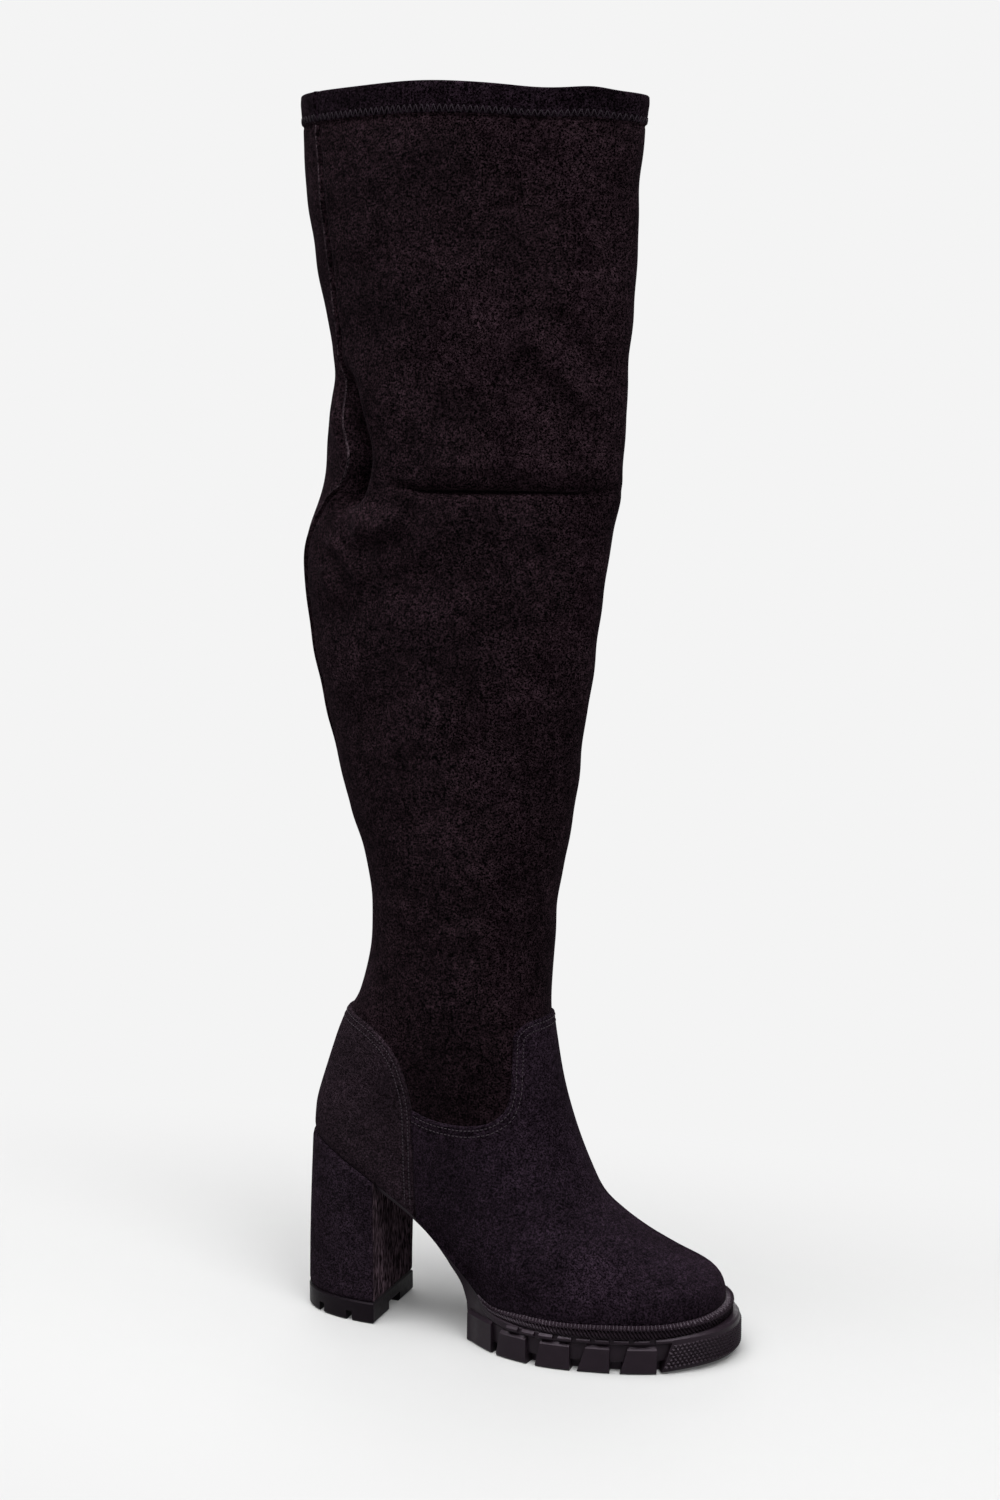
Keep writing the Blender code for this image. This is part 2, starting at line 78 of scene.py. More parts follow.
# Sections from the bottom edge to the collar: back and front points, half widths, share of the sole's own
# outline and dip, and how far the sides rise above the ends
SECTION_COLUMNS = ("back_x", "back_z", "front_x", "front_z", "outer", "inner", "foot", "arch")
SECTIONS = (
    (10.5, 103.5, 237, 21.2, 42.5, 42, 1, 0),
    (10, 107, 238.4, 31, 44, 43.5, 1, 0),
    (10.2, 110.5, 233.4, 39.6, 44, 43.5, 0.97, 0),
    (10.6, 114.5, 216, 47, 43, 42.5, 0.93, 0),
    (11.2, 119, 199, 55.2, 41.5, 41, 0.86, 0),
    (12.6, 124.5, 183.4, 65.2, 40, 39.5, 0.77, 0),
    (14.6, 131, 172, 76, 38.5, 38, 0.65, 0),
    (17.4, 139.5, 164, 92.5, 37, 36.5, 0.5, 0),
    (20.6, 149, 156.4, 113, 36, 35.5, 0.34, 0),
    (24.6, 160, 150, 136, 35.5, 35, 0.2, 0),
    (30, 172, 146, 159, 35, 35, 0.08, 0),
    (36.5, 184, 143.6, 181, 35, 35, 0, 0),
    (43, 210, 145, 208, 34.5, 34.5, 0, 0),
    (43.8, 237, 147.4, 236, 34, 34, 0, 0),
    (37.5, 263, 151.4, 262, 33.5, 33.5, 0, 0),
    (26.2, 300, 157.8, 300, 33, 33, 0, 0),
    (17.6, 340, 163.8, 340, 32.5, 32.5, 0, 0),
    (9.4, 378, 169.4, 378, 32, 32, 0, 0),
    (4.8, 407, 172.4, 408, 32, 32, 0, 0),
    (7.6, 432, 176.8, 434, 32, 32, 0, 0),
    (17, 458, 182.2, 459, 32.5, 32.5, 0, 0),
    (21.2, 495, 183.6, 495, 33, 33, 0, 0),
    (23, 518, 184.6, 518, 33.5, 33.5, 0, 0),
    (16.6, 556, 187.2, 555, 34.5, 34.5, 0, 0),
    (9.6, 602, 189.8, 600, 36, 36, 0, 1),
    (7.8, 632, 191.6, 628, 37, 37, 0, 2),
    (7.6, 655, 193, 649.2, 37.5, 37.5, 0, 2.6),
)

# Folds of the slack shaft in side view: side (1 outer, -1 inner), rise, half width, and path of x and z
FOLDS = (
    # knee crease, with the cloth rolling over it from above and swelling again below
    (1, -4.6, 2.8, ((62, 456.5), (84, 456), (98, 456), (127, 456.2), (157, 455.6), (186, 454.4))),
    (1, -2.6, 3, ((74, 454.6), (98, 454.2), (120, 454.4), (144, 454.2))),
    (1, 2.4, 6, ((74, 467), (98, 466.4), (127, 466.6), (157, 465.4), (186, 463))),
    (1, 2, 11, ((70, 434), (92, 433), (127, 436), (170, 438))),
    # hollow beside the back seam, and the ridges around it
    (1, -10.4, 4.4, ((35, 520), (40, 502), (44.5, 486), (48, 468), (43, 452), (31, 440))),
    (1, -4, 8, ((29, 526), (34, 502), (40, 486), (44, 469), (39, 452), (28, 440))),
    (1, 1, 8, ((52, 524), (62, 498), (67, 476), (62, 456))),
    (1, 1.8, 4, ((24, 500), (31, 482), (37, 465), (31, 452), (20, 442))),
    (1, 4, 7, ((40, 433), (60, 434), (80, 440))),
    (1, 2.6, 10, ((52, 419), (76, 422), (96, 427))),
    (1, 2.4, 3.6, ((24, 430), (38, 419), (54, 404))),
    (1, 1.8, 3.6, ((22, 414), (28, 403), (38, 396))),
    # slanting fold above the knee at the front
    (1, 3.4, 6, ((134, 541), (145, 529), (153, 519), (164, 506), (176, 492))),
    (1, -2.6, 6.5, ((150, 548), (160, 535), (169, 522), (180, 508))),
    # faint pulls above the ankle
    (1, 1, 6, ((60, 236), (92, 224), (128, 226))),
    (1, -0.9, 6, ((62, 222), (92, 212), (126, 214))),
    # the inner side has the same knee crease, plainer
    (-1, -3.2, 2.8, ((68, 457), (104, 456), (140, 455.4), (186, 454.4))),
    (-1, 1.9, 6, ((68, 464), (104, 462), (140, 461), (186, 460.4))),
    (-1, -2.6, 7, ((34, 512), (44, 486), (48, 468), (40, 446))),
    (-1, 1.6, 7, ((136, 546), (154, 528), (168, 512), (179, 499))),
)

# Sag of the cloth that hangs over the knee crease: side, drop, half width and path
SAGS = (
    (1, 3.3, 3.2, ((62, 458.5), (84, 458.4), (98, 458.6), (127, 458.8), (157, 458.2), (186, 456.8))),
    (-1, 2.4, 3.2, ((68, 459), (104, 458.4), (140, 457.8), (186, 456.8))),
)

# Points on a fold's smooth path, share of it over which each end fades, and how softly a side begins
FOLD_POINTS = 14
FOLD_FADE = 0.22
FOLD_SIDE = 0.2

# Slow waves of the slack cloth: height, length, turns round it and phase; where they begin and how they fade
WAVES = ((0.45, 130.0, 1.0, 0.4), (0.32, 71.0, 2.0, 1.9), (0.26, 46.0, -3.0, 3.1), (0.18, 29.0, 4.0, 5.2))
LOOSE_FROM = 190.0
LOOSE_FADE = 60.0

# Back seam: height and angle round the shaft, its ridge and groove, where it begins, and its finer mesh
BACK_SEAM = ((172, 180), (260, 178), (340, 170), (372, 168), (415, 164), (444, 153), (457, 141), (465, 139),
             (490, 147), (516, 152), (548, 148.5), (594, 145.5), (655, 146))
BACK_SEAM_RISE = 1.2
BACK_SEAM_WIDE = 1.0
BACK_SEAM_GROOVE = 0.9
BACK_SEAM_ASIDE = 2.2
BACK_SEAM_FROM = 174.0
BACK_SEAM_FADE = 10.0
SEAM_GATHER = 0.7
SEAM_FROM = 16.0

# Wavy rim of the collar on the outer side: rise, and angle and half width in degrees
COLLAR_WAVES = ((1.6, 97, 20), (-1.1, 59, 12), (1, 38, 9))

# Hem: width of its step; rise, place and half width of its press, of the hollow below and of its fullness
HEM_EDGE = 0.03
HEM_PRESSED = (0.3, -2.6, 2.4)
HEM_UNDER = (0.25, 0.8, 0.8)
HEM_FULL = (0.35, 4.5, 3.5)

# Rings of the upper: usual step, finer zones by height, the hem's and the foot's limit and step, and counts
RING_SAMPLES = 9000
RING_STEP = 2.8
RING_ZONES = ((395, 552, 1.6), (444, 468, 0.8))
RING_HEM = (0.12, 0.75)
RING_FOOT = (6, 3.6)
UPPER_COLUMNS = 230
LINING_EVERY = 4
ROLL_ROWS = 9

# Places of the upper's other looks in its list: lining, the lighter suede painted as a highlight along the
# crest of the back seam, and hem
LINED, CREST_HIGHLIGHT, HEMMED = 1, 2, 3

# Panel edges in side view: x and z; how round they are, and how deep and wide the seam and stitches sink
SEAM_X = 78.0
VAMP_EDGE = ((78, 126), (88, 123), (100, 121.5), (112, 121.6), (122, 124), (128.5, 129),
             (131.2, 137), (131.5, 148), (131, 160), (131.8, 169), (135.5, 174.5), (150, 178))
COUNTER_EDGE = ((15, 173), (38, 172), (52, 168), (67.5, 156), (75.5, 138), (78, 126))
EDGE_SAMPLES = 120
EDGE_ROUND = 1.1
SEAM_SINK = 0.8
SEAM_SINK_WIDE = 1.3
STITCH_SINK = 0.22
STITCH_SINK_WIDE = 0.7
PANEL_LEAST = 0.05
PANEL_INSIDE = 0.1

# Panel meshes: last section, samples and halvings that find an edge, rows and columns, and the seam's search
PANEL_TOP = 12.5
EDGE_FINE = 1500
CROSS_SAMPLES = 200
CROSS_HALVINGS = 18
VAMP_GRID = (84, 320)
VAMP_EASE = 1.6
VAMP_CLEAR = 0.004
COUNTER_GRID = (90, 260)
COUNTER_AHEAD = (0.8, 1200)
COUNTER_CLEAR = 0.002
SEAM_SECTIONS = (7, 300)
SEAM_ANGLES = (0.3, 700)
SEAM_CLEAR = 0.5

# Stitching: rows in from a panel's edge, sizes of a stitch, inward side of each edge, and the hem's zigzag
STITCH_ROWS = (2.3, 5.6)
STITCH_PITCH = 2.1
STITCH_LENGTH = 1.6
STITCH_DEEP = 0.15
STITCH_REACH = 0.6
SLIDE_STEPS = 4
THREAD = 0.34
VAMP_INWARD = -1
COUNTER_INWARD = 1
HEM_ZIGZAG = (0.5, 4.6)
HEM_PITCH = 3.2
HEM_SAMPLES = 721

# Outsole: edge beyond the upper's bottom edge, under profile of the waist, tread depth and toe spring; inset
# of the side wall's levels, and their rise from the bottom or drop from the top as shares of its step
BREAST_X = 54.0
EDGE_COLUMNS = ("x", "outer", "inner")
EDGE_MARGIN = (
    (54, 0.4, 0.4),
    (98, 0, 0),
    (107, -1, -1),
    (118, 3.2, 1),
    (129, 6.6, 3),
    (150, 7.4, 4.5),
    (168, 5.8, 5),
    (190, 4.8, 5),
    (216, 6, 6),
    (230, 8.5, 8.5),
    (237, 11, 11),
)
WAIST_UNDER = ((54, 78), (66, 70.6), (77, 63.2), (85, 56.6), (92, 49.2), (98, 41), (103, 31.5), (106.3, 20.5))
PLATFORM_X = 107.4
TREAD = 5.5
TOE_SPRING = ((190, 0), (215, 0.8), (237, 3))
EDGE_STEP = 4.2
EDGE_STEP_SHARE = 0.45
BAND_INSET = 1.3
LOW_LEVELS = ((3.6, 0.0), (2.6, 0.08), (2.2, 0.25))
HIGH_LEVELS = ((2.0, 1.0), (1.9, 0.97), (BAND_INSET + 0.2, 0.87), (BAND_INSET, 0.8), (BAND_INSET, 0.12),
               (BAND_INSET + 0.4, 0.0))
EDGE_THIN = (4.0, 8.0, 0.15)
WAIST_PIECES = 44
FORE_PIECES = 110

# Side lugs: rear foot, rear top, front and height; their profile, and the webs that close their notches
LUGS = ((107.6, 108, 127.5, 17.5), (131, 134, 149.5, 15), (154.5, 157.5, 172, 15),
        (175.5, 180.5, 192, 15), (197, 201, 213.5, 15))
LUG_FOOT = 1.2
LUG_BEVEL = 1.6
LUG_TOP_INSET = 1.8
LUG_REACH = 15.0
LUG_LEAN = (0.1, 0.9)
LUG_PIECES = 16
WEB_INSET = 6.0
WEB_RISE = 0.6
WEB_TOP = TREAD + WEB_RISE
WEB_PROFILE = ((-WEB_INSET, WEB_RISE, 0.0), (-WEB_INSET, WEB_TOP, 0.0), (-LUG_REACH, WEB_TOP, 0.0),
               (-LUG_REACH, WEB_RISE, 0.0))
WEB_PIECES = 6

# Toe bumper: where it starts, how it leans, and growth and share of the height of its rows
BUMPER_X = 215.6
BUMPER_LEAN = 4.4
BUMPER_ROWS = ((-1.2, 0.0), (-0.35, 0.02), (0.0, 0.065), (0.2, 0.86), (-0.1, 0.94), (-1.1, 1.0),
               (-LUG_REACH, 1.0), (-LUG_REACH, 0.0))
BUMPER_COLUMNS = 48

# Pads of the tread underneath, and the dashes on the band, with growth and drop of their profile
PAD_INSET = 4.0
PAD_HEIGHT = 9.5
TREAD_PADS = ((124, 139), (146, 161), (168, 183), (190, 205))
RIB_FIRST = 138.0
RIB_PITCH = 9.4
RIB_LENGTH = 6.8
RIB_COUNT = 9
RIB_OUT = 1.7
RIB_ROOT = 3.0
RIB_PROFILE = ((-1.1, 0.1), (0.0, 1.2), (0.0, 2.4), (-RIB_ROOT, 3.0), (-RIB_ROOT, 0.1))
RIB_PIECES = 8
RUBBER_BEVEL = 0.35
RUBBER_SHARP = 30.0
BEVEL_ANGLE = 35.0

# Knurling of the bumper: pitch, row height, height and fill of its points, and the extent of its rows
BUMPER_PITCH = 2.4
BUMPER_ROW = 1.8
BUMPER_POINT = 1.15
KNURL_FILL = 0.47
KNURL_OUT = 0.05
KNURL_AHEAD = 0.5
KNURL_LOW = LUG_FOOT + 0.3
KNURL_TOP = 14.6
KNURL_SAMPLES = 160
SQUARE = ((-1, -1), (1, -1), (1, 1), (-1, 1))
PYRAMID = ((0, 1, 4), (1, 2, 4), (2, 3, 4), (3, 0, 4), (3, 2, 1, 0))

# Slanting ribs of the rand: pitch, height on its face and its crest, slant, and where they fade
RAND_PITCH = 2.0
RAND_RIB = 0.75
RAND_RIB_TOP = 0.07
RAND_SLANT = 6.3
RAND_RIB_ENDS = 4
RAND_FACE_FADE = (0.12, 0.15)
RAND_CREST_FADE = (0.5, 0.3, 0.06)

# Rand: its rear end, thickness and height, fuller and lower at the toe, thin at its ends, and its rounding
RAND_X = 117.0
RAND_THICK = 2.8
RAND_TOP = 0.82
RAND_TOE_OUT = 1.3
RAND_TOE_LOW = 0.18
RAND_TOE_TURN = (0.95, 0.6)
RAND_END_TOP = 0.25
RAND_END_THICK = 0.8
RAND_TAPER = 0.25
RAND_SHOULDER = 0.8
RAND_FACE = (0.72, 0.33)
RAND_LINE = (0.3, 3.0)
RAND_SAMPLES = 3000
RAND_COLUMNS = 1300
RAND_ROWS = 18

# Heel: breast, back and half width of the floor outline, share of the height and pull of each level,
# height of the cap, growth and height of its levels, and its grooves
HEEL_BREAST = 52.0
HEEL_BACK = 3.4
HEEL_HALF = 27.0
HEEL_ROUND = 2.2
HEEL_RIM = 3.2
HEEL_MIDDLE = (35.0, 0.0)
HEEL_FLARE = 1.6
HEEL_PULL = ((0.0, 0.7), (0.012, 0.2), (0.03, 0.0), (0.955, 0.0), (0.98, 0.4), (1.0, 1.3))
HEEL_CORNER = 1.6
HEEL_ROWS = 40
HEEL_COLUMNS = 161
BREAST_FACING = 0.8
CAP_HEIGHT = 12.0
CAP_GROW = 0.3
CAP_LEVELS = ((-0.8, 0.0), (0.3, 1.2), (0.3, 11.2), (-0.4, 12.0))
CAP_COLUMNS = 121
GROOVES_X = (18.0, 37.0)
GROOVE_WIDTH = 3.6
GROOVE_DEPTH = 5.5
NOTCH_Y = (-6.3, 9.0)
NOTCH_X = 40.0
CUT_REACH = 80.0

# Insole: inset from the bottom edge, and inset and rise of its levels
INSOLE_INSET = 2.8
INSOLE_LEVELS = ((0.6, 0.0), (0.0, 0.7), (0.0, 2.2), (0.5, 2.8), (1.4, 3.0))
INSOLE_COLUMNS = 90

# Nap of the suede: scale, detail, ends and depth of its brushed patches and of its mottling and fibres; and
# scale, detail, strength and depth of its bumps
NAP_PATCHES = (34.0, 3.0, 0.34, 0.66, 0.26)
NAP_LAYERS = ((170.0, 4.0, 0.3, 0.7, 0.34), (480.0, 3.0, 0.33, 0.67, 0.5), (1150.0, 2.0, 0.39, 0.61, 0.96))
NAP_BUMPS = ((420.0, 3.0, 0.35, 0.35), (1400.0, 2.0, 0.6, 0.3))
EVEN = (1.0, 1.0, 1.0)

# Painted shade on the cloth in the recessed opening between the panels: its centre in side view, near and far
# reach, and share
OPENING_PAINTED_SHADE = ((106.0, 140.0), (16.0, 52.0), 0.68)

# Camera in the boot's frame, its fall below the level, its turn from the outer side, and its lens
CAMERA_AT = (565.4, -1166.3, 517.8)
CAMERA_FALL = 9.104
CAMERA_TURN = 21.085
CAMERA_LENS = 57.72

# Floor: its mesh, the squeezed circle where paper turns into background, its colour and glow, and the
# background's glow
FLOOR_REACH = 30.0
FLOOR_RINGS = (0.1, 1.5, 15)
FLOOR_COLUMNS = 96
FLOOR_BLEND = (0.07, 0.34)
FLOOR_SQUEEZE = (0.45, 1.0, 1.0)
FLOOR_COLOUR = 0.232
FLOOR_GLOW = 0.08
BACKGROUND = 0.905

# Sky above the background's glow, and where it takes over; soft lights: place, aim, size and power
SKY = 0.15
SKY_BLEND = (0.16, 0.3)
LIGHTS = (
    ("key", (1.7, -1.3, 2.6), (0.0, 0.0, 0.3), (1.3, 1.3), 110.0),
    ("fill", (-1.6, -2.2, 1.4), (0.0, 0.0, 0.3), (1.4, 1.6), 5.0),
    ("top", (-0.2, -0.45, 2.3), (0.0, 0.0, 0.0), (2.2, 2.2), 190.0),
    ("back", (-1.0, 2.3, 1.5), (0.0, 0.0, 0.3), (1.6, 1.6), 30.0),
)

# The frame's own place: the heel cap's back and middle
CAP_LOW, CAP_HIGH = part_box("heel_cap")
ORIGIN = np.array([CAP_LOW.x / MM - HEEL_BACK + CAP_GROW, (CAP_LOW.y + CAP_HIGH.y) / 2 / MM, 0.0])


# Shapes shared with the solids

def curve(knots, values, at):
    """Smooth curve through table points, with slopes taken from the neighbours."""
    knots = np.asarray(knots, float)
    values = np.asarray(values, float)
    at = np.clip(np.asarray(at, float), knots[0], knots[-1])
    slopes = np.gradient(values, knots)
    i = np.clip(np.searchsorted(knots, at, side="right") - 1, 0, len(knots) - 2)
    step = knots[i + 1] - knots[i]
    u = (at - knots[i]) / step
    start = (1 + 2 * u) * (1 - u) ** 2 * values[i] + u * (1 - u) ** 2 * step * slopes[i]
    end = u * u * (3 - 2 * u) * values[i + 1] + u * u * (u - 1) * step * slopes[i + 1]
    return start + end


FEATHER_AT = dict(zip(FEATHER_COLUMNS, np.array(FEATHER).T))
SECTION_AT = dict(zip(SECTION_COLUMNS, np.array(SECTIONS).T))
TOP = len(SECTIONS) - 1
HEEL_X = FEATHER_AT["x"][0]
TOE_X = FEATHER_AT["x"][-1]
HEM = TOP - HEM_HEIGHT / (SECTION_AT["back_z"][-1] - SECTION_AT["back_z"][-2])


def angle_at(x):
    """Angle round the bottom edge for a place along it: 0 at the toe, pi at the heel."""
    share = np.clip((np.asarray(x, float) - HEEL_X) / (TOE_X - HEEL_X), 0.0, 1.0)
    return np.arccos(2 * share - 1)


def x_at(angle):
    return HEEL_X + (TOE_X - HEEL_X) * (1 + np.cos(angle)) / 2


FEATHER_ANGLES = angle_at(FEATHER_AT["x"])[::-1]


def feather(name, angle):
    folded = np.arccos(np.clip(np.cos(angle), -1, 1))
    return curve(FEATHER_ANGLES, FEATHER_AT[name][::-1], folded)


def section(name, t):
    return curve(np.arange(TOP + 1), SECTION_AT[name], t)


def skin_point(t, angle):
    """Point of the upper's outer face: t counts the sections, the outer side has angles 0 to pi."""
    t, angle = np.broadcast_arrays(np.asarray(t, float), np.asarray(angle, float))
    along = (1 + np.cos(angle)) / 2
    back_x = section("back_x", t)
    back_z = section("back_z", t)
    foot = section("foot", t)
    chord = FEATHER_AT["z"][0] + (FEATHER_AT["z"][-1] - FEATHER_AT["z"][0]) * along
    dip = feather("z", angle) - chord
    outer = np.sin(angle) >= 0
    sole = np.where(outer, feather("outer", angle) / FEATHER_AT["outer"].max(),
                    feather("inner", angle) / FEATHER_AT["inner"].max())
    half = np.where(outer, section("outer", t), section("inner", t))
    half = half * (foot * sole + (1 - foot) * np.abs(np.sin(angle)))
    x = back_x + (section("front_x", t) - back_x) * along
    y = foot * feather("centre", angle) + np.where(outer, -half, half)
    z = back_z + (section("front_z", t) - back_z) * along + foot * dip
    z = z + section("arch", t) * np.sin(angle) ** 2
    return np.stack([x, y, z], -1)


def slopes(t, angle):
    """Change of the skin point with t and with the angle."""
    t = np.asarray(t, float)
    high = np.minimum(t + TURN_STEP, TOP)
    low = np.maximum(t - TURN_STEP, 0)
    up = (skin_point(high, angle) - skin_point(low, angle)) / (high - low)[..., None]
    about = (skin_point(t, angle + TURN_STEP) - skin_point(t, angle - TURN_STEP)) / (2 * TURN_STEP)
    return up, about


def unit(vectors):
    return vectors / np.linalg.norm(vectors, axis=-1, keepdims=True)


def outward(t, angle):
    return unit(np.cross(*slopes(t, angle)))


def skin(t, angle, offset):
    """Point a set distance outside the upper's outer face."""
    t, angle, offset = np.broadcast_arrays(*(np.asarray(v, float) for v in (t, angle, offset)))
    return skin_point(t, angle) + outward(t, angle) * offset[..., None]


def edge_margin(x, inner):
    """How far the sole's edge stands out from the upper's bottom edge."""
    at = dict(zip(EDGE_COLUMNS, np.array(EDGE_MARGIN).T))
    return np.where(inner, curve(at["x"], at["inner"], x), curve(at["x"], at["outer"], x))


def edge(x, inner, grow):
    """Plan point of the sole's edge at a place along it, on the outer or the inner side."""
    angle = angle_at(x)
    angle = np.where(inner, -angle, angle)

    def plan(a):
        half = np.where(np.sin(a) >= 0, -feather("outer", a), feather("inner", a))
        return np.stack([x_at(a), feather("centre", a) + half], -1)

    tangent = plan(angle + TURN_STEP) - plan(angle - TURN_STEP)
    out = unit(np.stack([-tangent[..., 1], tangent[..., 0]], -1))
    return plan(angle) + out * np.asarray(grow, float)[..., None]


def bed(x):
    return feather("z", angle_at(x))


def spring(x):
    return np.interp(x, *np.array(TOE_SPRING).T)


def both_sides(x):
    """Places along the edge from the outer side round the end and back on the inner side."""
    x = np.asarray(x, float)
    inner = np.arange(2 * len(x) - 1) >= len(x)
    return np.concatenate([x, x[-2::-1]]), inner


def smooth_step(x):
    x = np.clip(x, 0.0, 1.0)
    return x * x * (3 - 2 * x)


def run_along(points):
    """Length of a line of points up to each of them."""
    return np.append(0, np.cumsum(np.linalg.norm(np.diff(points, axis=0), axis=1)))


def smooth_line(rows, count):
    """Points along a smooth line through side-view points."""
    rows = np.array(rows)
    run = run_along(rows)
    at = np.linspace(0, run[-1], count)
    return np.column_stack([curve(run, rows[:, 0], at), curve(run, rows[:, 1], at)])


def bell(x):
    return np.exp(-x * x)


def swell(x, rise, place, wide):
    """Soft rise at a place."""
    return rise * bell((x - place) / wide)


# Meshes

def grid(rows, columns, around=False):
    """Quads of a grid of points, closed round where its columns go round."""
    r = np.arange(rows - 1)[:, None] * columns
    c = np.arange(columns if around else columns - 1)[None, :]
    d = (c + 1) % columns
    quads = np.stack(np.broadcast_arrays(r + c, r + d, r + columns + d, r + columns + c), -1)
    return quads.reshape(-1, 4).tolist()


def gathered(parts):
    points = []
    faces = []
    start = 0
    for some, sides in parts:
        points.append(np.asarray(some).reshape(-1, 3))
        faces.extend([start + i for i in side] for side in sides)
        start += len(points[-1])
    return np.concatenate(points), faces


def linked(name, data):
    made = bpy.data.objects.new(name, data)
    bpy.context.scene.collection.objects.link(made)
    return made


def mesh_object(name, points, faces, sharp=None):
    """Mesh object from points in millimetres, faces turned outward, smooth up to the sharp angle."""
    mesh = bpy.data.meshes.new(name)
    mesh.from_pydata(((np.asarray(points) + ORIGIN) * MM).tolist(), [], faces)
    work = bmesh.new()
    work.from_mesh(mesh)
    bmesh.ops.recalc_face_normals(work, faces=work.faces)
    work.to_mesh(mesh)
    work.free()
    mesh.shade_smooth()
    if sharp is not None:
        mesh.set_sharp_from_angle(angle=math.radians(sharp))
    return linked(name, mesh)


def dress(made, slot, looks, *nodes):
    """Give a piece its looks and its body, and hide the solids that it stands for; the slot is not used."""
    for cloth in looks:
        made.data.materials.append(cloth)
    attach(made, "root")
    if nodes:
        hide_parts(*nodes)
    return made


def bevel(made, width, segments=2):
    step = made.modifiers.new("bevel", "BEVEL")
    step.width = width * MM
    step.segments = segments
    step.limit_method = "ANGLE"
    step.angle_limit = math.radians(BEVEL_ANGLE)
    step.harden_normals = True


def cut(target, points, faces):
    """Cut a helper mesh away with the exact solver, then drop the helper."""
    helper = mesh_object(target.name + "_tool", points, faces)
    step = target.modifiers.new("cut", "BOOLEAN")
    step.operation = "DIFFERENCE"
    step.solver = "EXACT"
    step.object = helper
    view = bpy.context.evaluated_depsgraph_get()
    result = bpy.data.meshes.new_from_object(target.evaluated_get(view))
    target.modifiers.clear()
    target.data = result
    bpy.data.objects.remove(helper)


def loft(loops):
    """Points and faces of a solid through closed loops, with flat ends."""
    loops = np.asarray(loops)
    rows, columns = loops.shape[:2]
    faces = grid(rows, columns, around=True)
    faces.append(list(range(columns)))
    faces.append(list(range((rows - 1) * columns, rows * columns)))
    return loops.reshape(-1, 3), faces


def slab(levels):
    """Points and faces of a solid from stacked U-shaped outlines, each closed across like a ladder."""
    levels = np.asarray(levels)
    rows, count = levels.shape[:2]
    middle = count // 2
    faces = grid(rows, count, around=True)
    for a in (0, (rows - 1) * count):
        for i in range(middle - 1):
            faces.append([a + i, a + i + 1, a + count - 2 - i, a + count - 1 - i])
        faces.append([a + middle - 1, a + middle, a + middle + 1])
    return levels.reshape(-1, 3), faces


def box(low, high):
    corners = np.array([(x, y, z) for x in (low[0], high[0]) for y in (low[1], high[1])
                        for z in (low[2], high[2])], float)
    return corners, [(0, 1, 3, 2), (4, 6, 7, 5), (0, 4, 5, 1), (2, 3, 7, 6), (0, 2, 6, 4), (1, 5, 7, 3)]


def stitches(starts, ends, normals, radius):
    """Short threads that lie on a surface from start to end, their ends sunk into it."""
    sides = 6
    along = np.array([-1.0, -0.72, 0.0, 0.72, 1.0])
    girth = np.array([0.35, 0.9, 1.0, 0.9, 0.35])
    lift = np.array([-0.9, 0.1, 0.45, 0.1, -0.9])
    turn = np.linspace(0, 2 * np.pi, sides, endpoint=False)
    middle = (starts + ends) / 2
    half = (ends - starts) / 2
    across = unit(np.cross(normals, half))
    rings = middle[:, None, None] + half[:, None, None] * along[None, :, None, None]
    rise = radius * (lift[:, None] + girth[:, None] * np.sin(turn)[None, :])
    wide = radius * girth[:, None] * np.cos(turn)[None, :]
    lifted = rings + normals[:, None, None] * rise[None, ..., None]
    points = lifted + across[:, None, None] * wide[None, ..., None]
    return gathered([loft(one) for one in points])


# Looks

def look(name, colour, roughness, **fixed):
    """Material with its plain values set on the shader itself."""
    made = bpy.data.materials.new(name)
    made.use_nodes = True
    shader = made.node_tree.nodes["Principled BSDF"]
    shader.inputs["Base Color"].default_value = (*colour, 1.0)
    shader.inputs["Roughness"].default_value = roughness
    for socket, value in fixed.items():
        shader.inputs[socket.replace("_", " ")].default_value = value
    return made, made.node_tree, shader


def placed(tree, stretch):
    """A piece's own coordinates, stretched along the axes."""
    place = tree.nodes.new("ShaderNodeTexCoord")
    squeeze = tree.nodes.new("ShaderNodeMapping")
    squeeze.inputs["Scale"].default_value = stretch
    tree.links.new(place.outputs["Object"], squeeze.inputs["Vector"])
    return squeeze.outputs["Vector"]


def noise(tree, scale, detail, stretch=EVEN):
    cloud = tree.nodes.new("ShaderNodeTexNoise")
    cloud.inputs["Scale"].default_value = scale
    cloud.inputs["Detail"].default_value = detail
    tree.links.new(placed(tree, stretch), cloud.inputs["Vector"])
    return cloud.outputs["Fac"]


def distance(tree, stretch, centre):
    """Distance of the stretched coordinates from a centre."""
    away = tree.nodes.new("ShaderNodeVectorMath")
    away.operation = "DISTANCE"
    tree.links.new(placed(tree, stretch), away.inputs[0])
    away.inputs[1].default_value = centre
    return away.outputs["Value"]


def scaled(colour, by):
    return tuple(by * c for c in colour)


def shaded(tree, factor, colour, low, high, ends=(0.3, 0.7)):
    """Colour that goes from a low to a high share of itself between the ends of a factor."""
    made = tree.nodes.new("ShaderNodeValToRGB")
    tree.links.new(factor, made.inputs["Fac"])
    for spot, place, share in zip(made.color_ramp.elements, ends, (low, high)):
        spot.position = place
        spot.color = (*scaled(colour, share), 1.0)
    return made.outputs["Color"]


def multiplied(tree, first, second):
    made = tree.nodes.new("ShaderNodeMix")
    made.data_type = "RGBA"
    made.blend_type = "MULTIPLY"
    made.inputs["Factor"].default_value = 1.0
    tree.links.new(first, made.inputs["A"])
    tree.links.new(second, made.inputs["B"])
    return made.outputs["Result"]


